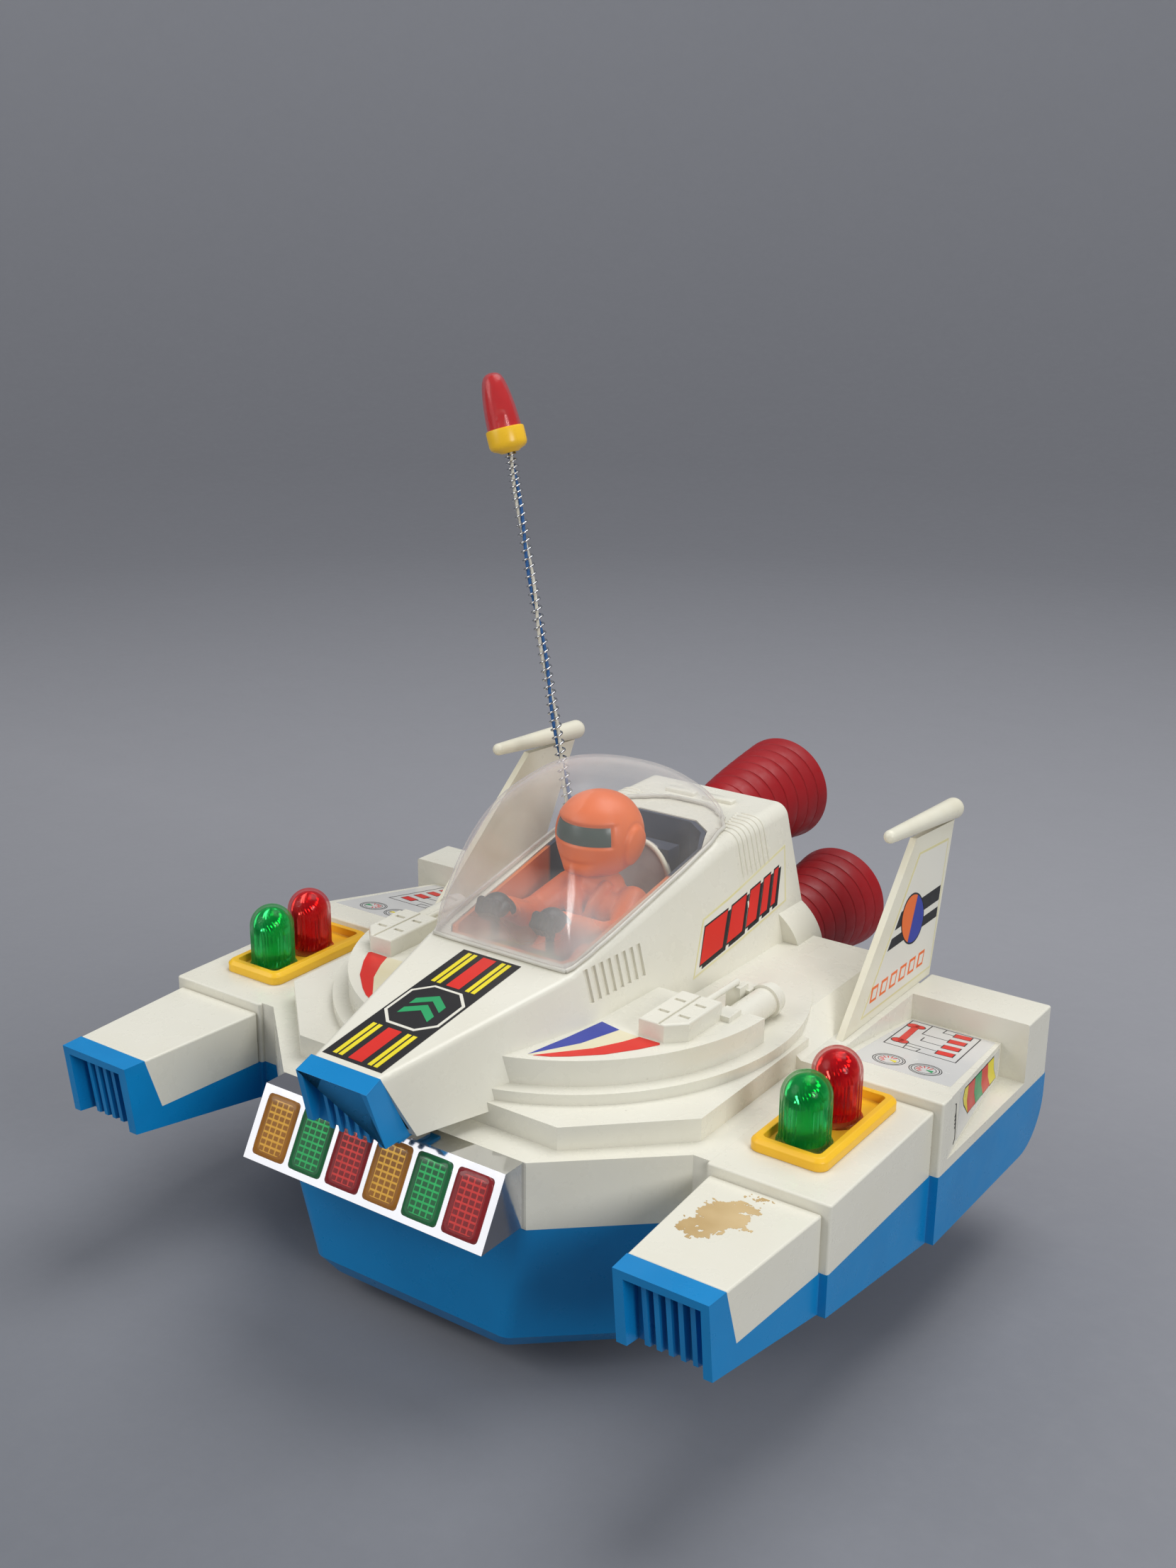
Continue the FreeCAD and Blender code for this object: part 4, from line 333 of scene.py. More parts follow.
PLAIN_PLASTICS = {     # colour, roughness
    "visor_tint": ((0.055, 0.085, 0.07), 0.22),
    "black_plastic": ((0.018, 0.019, 0.022), 0.38),
    "lead_cream": ((0.76, 0.72, 0.60), 0.5),
    "lead_blue": ((0.03, 0.13, 0.36), 0.5),
    "gear_plastic": ((0.80, 0.79, 0.72), 0.45),
    "cell_jacket": ((0.55, 0.06, 0.05), 0.35),
    "board_green": ((0.05, 0.20, 0.09), 0.5),
    "decal_black": ((0.022, 0.021, 0.022), 0.38),
    "decal_red": ((0.72, 0.03, 0.02), 0.34),
    "decal_yellow": ((0.86, 0.72, 0.03), 0.34),
    "decal_green": ((0.03, 0.36, 0.13), 0.34),
    "decal_blue": ((0.035, 0.055, 0.36), 0.34),
    "decal_orange": ((0.85, 0.17, 0.03), 0.34),
    # Dark lens-block colours: painted shade for the lens's prism cells.
    "recess_amber": ((0.30, 0.11, 0.006), 0.3),
    "recess_green": ((0.003, 0.085, 0.022), 0.3),
    "recess_red": ((0.17, 0.004, 0.007), 0.3),
}
METALS = {             # colour, roughness
    "chrome_plate": ((0.86, 0.86, 0.88), 0.07),
    "contact_brass": ((0.75, 0.58, 0.28), 0.25),
    "spring_steel": ((0.66, 0.67, 0.68), 0.16),
    "motor_can": ((0.60, 0.61, 0.62), 0.3),
    "axle_steel": ((0.65, 0.65, 0.66), 0.25),
    "reflector_amber": ((1.0, 0.62, 0.10), 0.12),
    "reflector_green": ((0.06, 0.78, 0.22), 0.12),
    "reflector_red": ((1.0, 0.10, 0.08), 0.12),
}
SHEERS = {             # colour, opacity, roughness, clear coat, opacity seen edge on
    "amber_lens": ((0.62, 0.24, 0.01), 0.42, 0.06),
    "green_lens": ((0.008, 0.24, 0.07), 0.45, 0.06),
    "red_lens": ((0.45, 0.008, 0.016), 0.45, 0.06),
    "dome_green": ((0.003, 0.36, 0.06), 0.20, 0.08, 0.0, 0.85),
    "dome_red": ((0.66, 0.005, 0.015), 0.22, 0.08, 0.0, 0.85),
    "red_nozzle": ((0.40, 0.006, 0.010), 0.88, 0.44, 0.0),
    "lamp_red": ((0.84, 0.02, 0.02), 0.42, 0.10),
    "canopy_rim": ((0.84, 0.81, 0.72), 0.80, 0.20),
}
MATERIALS = {name: plastic(name, colour, shade, roughness, **more)
             for name, (colour, shade, roughness, more) in WORN_PLASTICS.items()}
MATERIALS.update({name: plastic(name, colour, None, roughness)
                  for name, (colour, roughness) in PLAIN_PLASTICS.items()})
MATERIALS.update({name: metal(name, *settings) for name, settings in METALS.items()})
MATERIALS.update({name: sheer(name, *settings) for name, settings in SHEERS.items()})
MATERIALS["bulb_glass"] = glass("bulb_glass", (0.97, 0.97, 0.93), 0.04)
MATERIALS["clear_canopy"] = clear_shell("clear_canopy", (0.95, 0.92, 0.89), 0.05)
MATERIALS["dark_tub"] = cockpit_lining("dark_tub")


# ------------------------------------------------------------------ carried-over CAD nodes
SOFT_EDGE = {"upper_shell": 0.7, "lower_hull": 0.7, "nose_cap": 1.0, "light_bar_housing": 0.35,
             "dome_tray_right": 0.5, "dome_tray_left": 0.5, "fin_right": 0.5, "fin_left": 0.5,
             "antenna_base": 0.4, "battery_door": 0.3, "drive_pod": 0.3, "drive_tyres": 0.8, "rear_tyres": 0.8}


def soften(obj, width):
    """Cleans the triangulated mesh and rounds its edges, by modifiers alone."""
    weld = obj.modifiers.new("weld", "WELD")
    weld.merge_threshold = 0.002 * MM
    flat = obj.modifiers.new("flat", "DECIMATE")
    flat.decimate_type = "DISSOLVE"
    flat.angle_limit = math.radians(0.6)
    bevel = obj.modifiers.new("bevel", "BEVEL")
    bevel.width = width * MM
    bevel.segments = 2
    bevel.limit_method = "ANGLE"
    bevel.angle_limit = math.radians(28)
    bevel.harden_normals = False
    normal = obj.modifiers.new("normal", "WEIGHTED_NORMAL")
    normal.keep_sharp = False


def dress_nodes():
    slots = {part["node"]: part["material_slot"] for part in frame["record"]["subparts"]}
    for name, obj in NODES.items():
        obj.data.materials.clear()
        obj.data.materials.append(MATERIALS[slots[name]])
        if name in SOFT_EDGE:
            obj.data.polygons.foreach_set("use_smooth", [True] * len(obj.data.polygons))
            soften(obj, SOFT_EDGE[name])


# ------------------------------------------------------------------ making pieces
def corners(name):
    """Lowest and highest corner of a CAD node, in millimetres."""
    low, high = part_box(name)
    return Vector(low) / MM, Vector(high) / MM


@contextmanager
def reshaped(mesh):
    """The mesh opened for editing, and written back afterwards."""
    made = bmesh.new()
    made.from_mesh(mesh)
    yield made
    made.to_mesh(mesh)
    made.free()


def piece(name, points, faces, looks, body="craft", slot=None, replaces=(), smooth=True, marks=None, tidy=True):
    """A mesh piece from millimetre points, riding on a body; looks is one material's name or a list of them."""
    mesh = bpy.data.meshes.new(name)
    mesh.from_pydata([Vector(p) * MM for p in points], [], faces)
    for look in [looks] if isinstance(looks, str) else looks:
        mesh.materials.append(MATERIALS[look])
    if marks:
        mesh.polygons.foreach_set("material_index", marks)
    if tidy:
        with reshaped(mesh) as made:
            bmesh.ops.remove_doubles(made, verts=made.verts, dist=0.002 * MM)
            bmesh.ops.recalc_face_normals(made, faces=made.faces)
    mesh.polygons.foreach_set("use_smooth", [smooth] * len(mesh.polygons))
    obj = bpy.data.objects.new(name, mesh)
    SCENE.collection.objects.link(obj)
    if body:
        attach(obj, body)
    if replaces:
        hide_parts(*replaces)
    return obj


def keep_creases(obj, degrees=32):
    """Smooth shading that keeps the sharp edges sharp."""
    with reshaped(obj.data) as made:
        for edge in made.edges:
            if len(edge.link_faces) == 2 and edge.calc_face_angle(0) > math.radians(degrees):
                edge.smooth = False


def skin(rows, columns, closed=True):
    """Faces between rows of points; a closed row joins up with its own first point."""
    faces = []
    for row in range(rows - 1):
        for column in range(columns if closed else columns - 1):
            a, b = row * columns + column, row * columns + (column + 1) % columns
            faces.append((a, b, b + columns, a + columns))
    return faces


def loft(outlines):
    """A closed body through outlines with the same number of points."""
    count = len(outlines[0])
    points = [place for outline in outlines for place in outline]
    faces = skin(len(outlines), count)
    faces += [tuple(reversed(range(count))), tuple(range(len(points) - count, len(points)))]
    return points, faces


def lathe(rows, columns, wave=None):
    """Points and faces of a turned skin from (radius, height) rows; wave changes the radius by row and angle."""
    points = []
    for row, (radius, height) in enumerate(rows):
        for column in range(columns):
            angle = 2 * math.pi * column / columns
            r = radius + (wave(row, angle) if wave else 0.0)
            points.append((r * math.cos(angle), r * math.sin(angle), height))
    return points, skin(len(rows), columns)


def moved(points, matrix):
    return [matrix @ Vector(p) for p in points]


def tube(path, radius, sides=10):
    """A round bar along a list of points."""
    path = [Vector(p) for p in path]
    rings = []
    along = (path[1] - path[0]).normalized()
    across = along.orthogonal().normalized()
    for index, place in enumerate(path):
        ahead = path[min(index + 1, len(path) - 1)] - path[max(index - 1, 0)]
        ahead.normalize()
        across = (across - ahead * across.dot(ahead)).normalized()
        other = ahead.cross(across)
        angles = [2 * math.pi * side / sides for side in range(sides)]
        rings.append([place + (across * math.cos(a) + other * math.sin(a)) * radius for a in angles])
    return loft(rings)


def gather(parts):
    """Several (points, faces) lists as one."""
    points, faces = [], []
    for more_points, more_faces in parts:
        start = len(points)
        points.extend(more_points)
        faces.extend(tuple(index + start for index in face) for face in more_faces)
    return points, faces


def smoothstep(low, high, value):
    share = min(max((value - low) / (high - low), 0.0), 1.0)
    return share * share * (3 - 2 * share)


def bump_at(value, middle, width):
    return math.exp(-((value - middle) / width) ** 2)


# ------------------------------------------------------------------ lamps
def ribbed_dome(name, tone):
    """Beacon cap with a fluted lower part, a smooth crown and a real wall, over a faceted inside that glints."""
    low, high = corners(name)
    radius = (high.x - low.x) / 2 - 0.8
    height = high.z - low.z
    straight = height - radius
    flutes = 28
    wall = 1.2
    rows = [(radius - wall, 0.0), (radius + 0.8, 0.0), (radius + 0.8, 0.8), (radius + 0.5, 1.1), (radius, 1.1)]
    rows += [(radius, 1.6 + (straight - 1.6) * step / 9) for step in range(10)]

    def crown(r, steps, count):
        angles = [math.pi / 2 * step / count for step in steps]
        return [(r * math.cos(a), straight + r * math.sin(a)) for a in angles]

    rows += crown(radius, range(1, 15), 14)
    turn = len(rows)
    inner = radius - wall
    rows += crown(inner, range(12, -1, -1), 12)
    rows += [(inner, straight - (straight - 0.05) * step / 9) for step in range(1, 10)]
    rows.append((inner, 0.0))

    def wave(row, angle):
        r, z = rows[row]
        fade = 1.0 - smoothstep(height * 0.52, height * 0.66, z)
        if z < 1.2 or r < inner * 0.9:
            return 0.0
        ridge = abs(math.sin(flutes * angle / 2))
        return (-0.50 if row < turn else 0.55) * fade * ridge

    points, faces = lathe(rows, flutes * 6, wave)
    place = Matrix.Translation(Vector(((low.x + high.x) / 2, (low.y + high.y) / 2, low.z)))
    glint, floor = inner - 0.35, 1.4
    facets = [(0.2, floor)] + [(glint, floor + (straight - floor) * step / 6) for step in range(7)]
    facets += crown(glint, range(1, 9), 9) + [(0.2, straight + glint)]

    def sparkle(row, angle):
        r, z = facets[row]
        if r < 1.0 or z < 1.5:
            return 0.0
        spoke = round(angle * flutes / math.pi) % 2
        if z < height * 0.58:
            return -0.9 * spoke
        return -0.8 * ((spoke + row) % 2)

    inside, walls = lathe(facets, flutes * 2, sparkle)
    piece(name + "_facets", moved(inside, place), walls, "reflector_" + tone, "craft", tone + "_lens",
          smooth=False)
    piece(name + "_cap", moved(points, place), faces, "dome_" + tone, "craft", tone + "_lens", (name,))


def rounded_box_outline(half_width, half_height, radius, steps=6):
    outline = []
    for quarter, (sx, sy) in enumerate(((1, 1), (-1, 1), (-1, -1), (1, -1))):
        for step in range(steps + 1):
            angle = math.pi / 2 * (quarter + step / steps)
            outline.append((sx * (half_width - radius) + radius * math.cos(angle),
                            sy * (half_height - radius) + radius * math.sin(angle)))
    return outline


def light_bar():
    """Six lenses: tinted plates over rows of small blocks coloured dark as painted shade, with a bright reflector in
    the gaps between them.
    """
    low, high = corners("light_bar_housing")
    foot_y, foot_z = -137.0, 66.0
    lean = Vector((0, 13.0, 23.5)).normalized()
    out = Vector((0, -lean.z, lean.y))
    rim, face_length = 2.0, 26.85
    half = (high.x - low.x) / 2
    pitch = 2 * (half - rim) / 6
    wide, tall = 0.445 * pitch, 11.0
    columns, rows = 4, 8
    cell_u, cell_v = 10.4 / columns, 18.4 / rows
    block = [(-0.40, -0.36), (0.40, -0.36), (0.40, 0.36), (-0.40, 0.36)]
    for index, colour in enumerate(("amber", "green", "red")):
        plates, blocks, mirrors = [], [], []
        for place in (index, index + 3):
            x = -half + rim + pitch * (place + 0.5)
            middle = Vector((x, foot_y, foot_z)) + lean * face_length / 2

            def on_face(outline, w):
                return [middle + Vector((u, 0, 0)) + lean * v + out * w for u, v in outline]

            plates.append(loft([on_face(rounded_box_outline(wide + grow, tall + grow, max(3.3 + grow, 0.6)), depth)
                                for grow, depth in ((0.0, -1.2), (0.0, 0.12), (-0.30, 0.48), (-1.1, 0.66),
                                                    (-2.6, 0.72))]))
            for column in range(columns):
                for row in range(rows):
                    u, v = cell_u * (column + 0.5 - columns / 2), cell_v * (row + 0.5 - rows / 2)
                    blocks.append(loft([on_face([(u + a * cell_u * size, v + b * cell_v * size) for a, b in block], w)
                                        for size, w in ((1.0, 0.08), (0.85, 0.30))]))
            for store, half_u, half_v, depth in ((blocks, wide - 0.1, 10.9, 0.04), (mirrors, 5.15, 9.15, 0.12)):
                outline = rounded_box_outline(half_u, half_v, 1.5)
                store.append(loft([on_face(outline, -0.9), on_face(outline, depth)]))
        slot = colour + "_lens"
        made = piece("bar_lens_" + colour, *gather(plates), slot, "craft", slot,
                     ("light_bar_lenses_" + colour,))
        keep_creases(made, 50)
        # The blocks' dark colour is painted shade standing in for the lens's dark prism cells.
        piece("bar_blocks_" + colour, *gather(blocks), "recess_" + colour, "craft", slot, smooth=False)
        piece("bar_reflector_" + colour, *gather(mirrors), "reflector_" + colour, "craft", slot,
              smooth=False)


# ------------------------------------------------------------------ canopy
RIDGE = [(-59.0, 129.9), (-58.6, 139.0), (-57.4, 150.0), (-55.0, 160.5), (-50.0, 172.0), (-43.0, 181.3),
         (-34.0, 186.4), (-24.0, 188.6), (-10.0, 189.8), (4.0, 188.2), (22.0, 183.4), (41.0, 176.0), (55.0, 166.6),
         (64.0, 158.0), (68.0, 153.6)]


def rim_height(y):
    """Height of the rim that the canopy stands on."""
    front, knee, rear = (-59.0, 129.8), (38.0, 151.6), (89.0, 153.0)
    if y < knee[0]:
        return front[1] + (knee[1] - front[1]) * (y - front[0]) / (knee[0] - front[0])
    return knee[1] + (rear[1] - knee[1]) * (y - knee[0]) / (rear[0] - knee[0])


def ridge_points(count):
    """Smooth places along the crown, evenly spread."""
    places = [Vector((y, z)) for y, z in RIDGE]
    fine = []
    for index in range(len(places) - 1):
        before = places[max(index - 1, 0)]
        a, b = places[index], places[index + 1]
        later = places[min(index + 2, len(places) - 1)]
        for step in range(12):
            t = step / 12
            fine.append(0.5 * ((2 * a) + (b - before) * t + (2 * before - 5 * a + 4 * b - later) * t ** 2
                               + (3 * a - before - 3 * b + later) * t ** 3))
    fine.append(places[-1])
    runs = [0.0]
    for a, b in zip(fine, fine[1:]):
        runs.append(runs[-1] + (b - a).length)
    result = []
    for step in range(count):
        goal = runs[-1] * step / (count - 1)
        index = next(k for k in range(1, len(runs)) if runs[k] >= goal - 1e-9)
        share = (goal - runs[index - 1]) / max(runs[index] - runs[index - 1], 1e-9)
        result.append(fine[index - 1].lerp(fine[index], share))
    return result


def foot_half(y):
    """Half-width of the canopy's foot."""
    length = 68.0 + 59.0
    along = (y + 59.0) / length
    stations = [(0.0, 29.6), (0.03, 30.7), (0.10, 31.4), (0.22, 31.8), (0.55, 31.8), (0.72, 31.2), (0.84, 28.2),
                (0.92, 22.5), (0.97, 15.5), (1.0, 9.0)]
    for (a, first), (b, second) in zip(stations, stations[1:]):
        if along <= b:
            return first + (second - first) * smoothstep(0, 1, (along - a) / (b - a))
    return stations[-1][1]


def canopy():
    ridge = ridge_points(64)
    across = 40
    points = []
    for y, z in ridge:
        foot = rim_height(y) + 0.3
        half = foot_half(y)
        rise = max(z - foot, 0.15)
        for step in range(across + 1):
            angle = math.pi * step / across
            cx = math.copysign(abs(math.cos(angle)) ** 0.90, math.cos(angle))
            points.append((half * cx, y, foot + rise * math.sin(angle) ** 0.90))
    faces = skin(len(ridge), across + 1, closed=False)
    shell = piece("canopy_shell", points, faces, "clear_canopy", "craft", "clear_canopy", ("canopy",))
    solid = shell.modifiers.new("wall", "SOLIDIFY")
    solid.thickness = 1.1 * MM
    solid.offset = -1
    rim_path = [(foot_half(y), y, rim_height(y) + 0.9) for y, z in ridge]
    left = [(-x, y, z) for x, y, z in reversed(rim_path)]
    loop = rim_path + [(x, 68.3, rim_height(68.0) + 0.9) for x in (5.0, 0.0, -5.0)] + left
    loop += [(x, -59.3, rim_height(-59.0) + 0.9) for x in (-22.0, -11.0, 0.0, 11.0, 22.0)]
    loop.append(loop[0])
    piece("canopy_rim", *tube(loop, 0.85, 8), "canopy_rim", "craft", "clear_canopy")


# ------------------------------------------------------------------ driver
def ball(centre, radii, tilt=(0, 0, 0), segments=28):
    """Points and faces of a stretched ball, turned by angles in degrees."""
    rows = [(math.sin(math.pi * k / (segments // 2)), -math.cos(math.pi * k / (segments // 2)))
            for k in range(segments // 2 + 1)]
    points, faces = lathe([(max(r, 1e-4), z) for r, z in rows], segments)
    faces.append(tuple(reversed(range(segments))))
    faces.append(tuple(range(len(points) - segments, len(points))))
    turn = Matrix.Translation(Vector(centre))
    for axis, degrees in zip("XYZ", tilt):
        turn = turn @ Matrix.Rotation(math.radians(degrees), 4, axis)
    return moved([(x * radii[0], y * radii[1], z * radii[2]) for x, y, z in points], turn), faces


def limb(path, radii, sides=16):
    """A tapering limb: balls joined by straight skins."""
    parts = [ball(place, (radius, radius, radius), segments=20) for place, radius in zip(path, radii)]
    for a, b, first, second in zip(path, path[1:], radii, radii[1:]):
        points, faces = tube([a, b], 1.0, sides)
        for index, p in enumerate(points):
            centre, radius = (Vector(a), first) if index < sides else (Vector(b), second)
            points[index] = centre + (p - centre) * radius
        parts.append((points, faces))
    return gather(parts)


def blended_body(name, parts, look, voxel, passes, replaces):
    """Overlapping forms melted into one moulding."""
    obj = piece(name, *gather(parts), look, "craft", look, replaces, tidy=False)
    melt = obj.modifiers.new("melt", "REMESH")
    melt.mode = "VOXEL"
    melt.voxel_size = voxel * MM
    melt.use_smooth_shade = True
    soft = obj.modifiers.new("soft", "SMOOTH")
    soft.factor = 0.5
    soft.iterations = passes
    return obj


def head_radius(turn, rise):
    """Helmet radius towards a direction: degrees from straight ahead, and degrees up."""
    radius = 17.0
    side = abs(turn)
    brow = smoothstep(24.5, 28.0, rise) * (1 - smoothstep(30, 60, rise)) * (1 - smoothstep(52, 68, side))
    radius += 0.45 * brow
    window = smoothstep(-4.5, -2.0, rise) * (1 - smoothstep(24.0, 26.5, rise)) * (1 - smoothstep(51, 54, side))
    radius -= 0.75 * window
    cheek = math.hypot((side - 92) / 25, (rise + 10) / 30)
    radius += 0.95 * (1 - smoothstep(0.80, 1.0, cheek)) - 0.45 * bump_at(cheek, 1.06, 0.07)
    radius += 3.4 * bump_at(side, 0, 34) * bump_at(rise, -36, 17)
    radius += 0.8 * bump_at(side, 17, 9) * bump_at(rise, -37, 8)
    radius -= 0.65 * bump_at(side, 0, 24) * bump_at(rise, -24.5, 2.6)
    radius -= 0.5 * bump_at(side, 0, 15) * bump_at(rise, -45, 2.6)
    radius -= 0.5 * smoothstep(40, 75, rise)
    return radius


def helmet():
    """The helmet, and the dark visor as a thin plate let into its window."""
    centre = Vector((0, 4.0, 158.0))
    columns, rows = 168, 100
    window_turn, window_low, window_high = 49.5, -1.5, 23.5

    def at(turn, rise, lift=0.0):
        radius = head_radius(turn, rise) + lift
        a, e = math.radians(turn), math.radians(rise)
        return centre + Vector((math.sin(a) * math.cos(e), -math.cos(a) * math.cos(e), math.sin(e))) * radius

    points = [at(-180 + 360 * column / columns, -90 + 180 * row / rows)
              for row in range(rows + 1) for column in range(columns)]
    piece("helmet", points, skin(rows + 1, columns), "orange_suit", "craft", "orange_suit",
          ("driver_helmet",))
    columns, rows = 45, 15
    last_column, last_row = columns - 1, rows - 1
    points = [at(-window_turn + 2 * window_turn * column / last_column,
                 window_low + (window_high - window_low) * row / last_row, lift)
              for lift in (-0.6, 0.30) for row in range(rows) for column in range(columns)]
    layer = rows * columns
    inside = skin(rows, columns, closed=False)
    faces = inside + [tuple(index + layer for index in face) for face in inside]
    edge = list(range(columns)) + [(row + 1) * columns - 1 for row in range(1, rows)]
    edge += [last_row * columns + column for column in range(last_column - 1, -1, -1)]
    edge += [row * columns for row in range(last_row - 1, 0, -1)]
    faces += [(a, b, b + layer, a + layer) for a, b in zip(edge, edge[1:] + edge[:1])]
    keep_creases(piece("visor", points, faces, "visor_tint", "craft", "visor_tint", ("driver_visor",)), 50)


def driver():
    neck = 140.0
    parts = [ball(*form) for form in (((0, 9, 118), (12, 9.5, 11)), ((0, 6, 128), (14.5, 9.5, 12)),
                                      ((0, 5, neck - 3), (10, 8, 6)), ((0, 7, 112), (12.5, 11, 7)),
                                      ((-6.5, -0.5, 130), (7, 5.5, 7)), ((6.5, -0.5, 130), (7, 5.5, 7)))]
    for side in (-1, 1):
        parts.append(limb([(side * 14.5, 5, 132), (side * 20.0, -10, 126), (side * 18.5, -20, 128),
                           (side * 13.2, -38, 138)], [6.6, 5.6, 5.2, 4.2]))
        parts.append(limb([(side * 7, 6, 111), (side * 9, -16, 115), (side * 9, -30, 109.5)], [6.4, 6.0, 4.6]))
        parts.append(limb([(side * 7.0, -1.5, neck - 1), (side * 3.6, -5.6, neck - 8), (side * 0.9, -7.2, neck - 15)],
                          [2.5, 2.3, 1.5]))
        parts.append(ball((side * 12.8, -35.5, 137), (4.9, 2.2, 4.9), (28, 0, side * 8)))
    blended_body("suit", parts, "orange_suit", 0.62, 4, ("driver_figure",))
    parts = []
    for side in (-1, 1):
        x, y, z = side * 12.5, -45.0, 140.6
        parts.append(ball((x, y + 1.0, z), (5.2, 5.6, 4.8)))
        for finger in range(4):
            parts.append(limb([(x + side * (finger - 1.5) * 2.3, y - 3.4, z + 2.6),
                               (x + side * (finger - 1.5) * 2.2, y - 5.2, z - 0.4),
                               (x + side * (finger - 1.5) * 2.0, y - 3.0, z - 3.6)], [1.7, 1.6, 1.4], 10))
        parts.append(limb([(x - side * 4.6, y + 0.5, z + 0.5), (x - side * 4.4, y - 4.2, z - 0.8)], [1.9, 1.6], 10))
        parts.append(ball((x, y + 6.2, z - 1.6), (4.9, 1.9, 4.7), (24, 0, 0)))
    blended_body("gloves", parts, "black_plastic", 0.36, 3, ("driver_gloves",))


def seat_shell():
    """Round-shouldered seat back behind the driver, with piping round its edge."""
    half, foot, shoulder, skirt, bow = 21.0, 122.0, 28.0, 112.0, 1.6
    outline = []
    for step in range(41):
        angle = math.pi * step / 40
        outline.append((math.copysign(abs(math.cos(angle)) ** 0.7, math.cos(angle)) * half,
                        foot + shoulder * math.sin(angle) ** 0.8))
    layers = []
    for shrink, y in ((0.94, 24.6), (1.0, 25.2), (1.0, 27.4), (0.95, 28.2)):
        layers.append([(x * shrink, y - bow * (x / half) ** 2, foot + (z - foot) * shrink) for x, z in outline]
                      + [(-half * shrink, y - bow, skirt), (half * shrink, y - bow, skirt)])
    keep_creases(piece("seat_shell", *loft(layers), "seat_grey", "craft", "cream_plastic"), 60)
    loop = [(x, 24.8 - bow * (x / half) ** 2, z) for x, z in outline]
    piece("seat_piping", *tube(loop, 1.1, 10), "cream_plastic", "craft", "cream_plastic")


# ------------------------------------------------------------------ antenna
LEAN = math.radians(11.9)
ANTENNA_WAY = Vector((-math.sin(LEAN), 0, math.cos(LEAN)))
ANTENNA_FOOT = Vector((-50.5, 64.0, 107.5))
SPRING_LENGTH = 184.6
ACROSS = Vector((math.cos(LEAN), 0, math.sin(LEAN)))
BESIDE = Vector((0, 1, 0))
SPRING_SPANS = [(0.0, SPRING_LENGTH / 6, "foot"), (SPRING_LENGTH / 6, SPRING_LENGTH / 2, "low"),
                (SPRING_LENGTH / 2, SPRING_LENGTH * 5 / 6, "mid"), (SPRING_LENGTH * 5 / 6, SPRING_LENGTH, "top")]


def on_antenna(along, angle=0.0, radius=0.0):
    return ANTENNA_FOOT + ANTENNA_WAY * along + (ACROSS * math.cos(angle) + BESIDE * math.sin(angle)) * radius


def coil_angle(along):
    """Turns of the coil up to a place: open, then close wound under the lamp."""
    open_part = SPRING_LENGTH - 20.0
    if along < open_part:
        return 2 * math.pi * along / 3.6
    return 2 * math.pi * (open_part / 3.6 + (along - open_part) / 2.5)


def bend_over(obj, name):
    """Puts the top stretch on the antenna's top body; any other stretch gets its place written into its mesh."""
    if name == "top":
        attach(obj, "antenna_top")
        return
    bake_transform(obj)


def antenna():
    """The coil spring and the two leads twisted inside it, each in four stretches."""
    nodes = {"foot": (), "low": ("lower",), "mid": ("middle",), "top": ("upper",)}
    for start, end, name in SPRING_SPANS:
        low = start - (2.0 if name == "foot" else 0.0)
        high = end + (2.5 if name == "top" else 0.0)
        count = int((high - low) / 0.18)
        path = []
        for step in range(count + 1):
            along = low + (high - low) * step / count
            path.append(on_antenna(along, coil_angle(along), 2.15))
        made = piece("spring_" + name, *tube(path, 0.44, 8), "spring_steel", None, "spring_steel",
                     tuple("antenna_spring_" + n for n in nodes[name]))
        bend_over(made, name)
        for index, colour in enumerate(("cream", "blue")):
            path = []
            for step in range(41):
                along = low - (3.0 if name == "foot" else 0.0) + (high - low) * step / 40
                twist = math.pi * index + 0.10 * along
                path.append(on_antenna(along, twist, 0.78))
            replaced = tuple("antenna_leads_" + n for n in nodes[name]) if colour == "cream" else ()
            made = piece("lead_" + colour + "_" + name, *tube(path, 0.70, 10), "lead_" + colour, None,
                         "lead_cream" if colour == "cream" else None, replaced)
            bend_over(made, name)


def antenna_lamp():
    tilt = Matrix.Rotation(-(LEAN + math.radians(5.6)), 4, "Y")
    place = Matrix.Translation(on_antenna(SPRING_LENGTH)) @ tilt
    rows = [(0.4, -0.8), (2.9, -1.0), (3.9, -0.9), (4.6, -0.3), (6.6, 0.5), (7.5, 1.3), (7.95, 2.4), (8.0, 3.4),
            (8.0, 8.3), (7.8, 8.9), (7.2, 9.2), (6.3, 9.2), (6.1, 8.8), (6.1, 3.0), (5.6, 2.5), (0.4, 2.5),
            (0.4, -0.8)]
    points, faces = lathe(rows, 72)
    made = piece("lamp_cap", moved(points, place), faces, "yellow_plastic", "antenna_top",
                 "yellow_plastic", ("antenna_lamp_cap",))
    keep_creases(made, 40)
    profile = [(7.05, 8.4), (7.1, 10.0), (6.9, 14.0), (6.55, 18.0), (6.05, 22.0), (5.45, 25.5), (4.75, 28.3),
               (3.75, 30.4), (2.4, 31.5), (1.0, 31.85), (0.01, 31.9)]
    inner = [(max(r - 1.15, 0.01), z - (0.9 if z > 24 else 0.0)) for r, z in reversed(profile)]

    def seam(row, angle):
        return 0.10 if abs(math.sin(angle)) < 0.03 and row < len(profile) - 2 else 0.0

    points, faces = lathe(profile + inner, 96, seam)
    piece("lamp_lens", moved(points, place), faces, "lamp_red", "antenna_top", "red_lens",
          ("antenna_lamp_lens",))


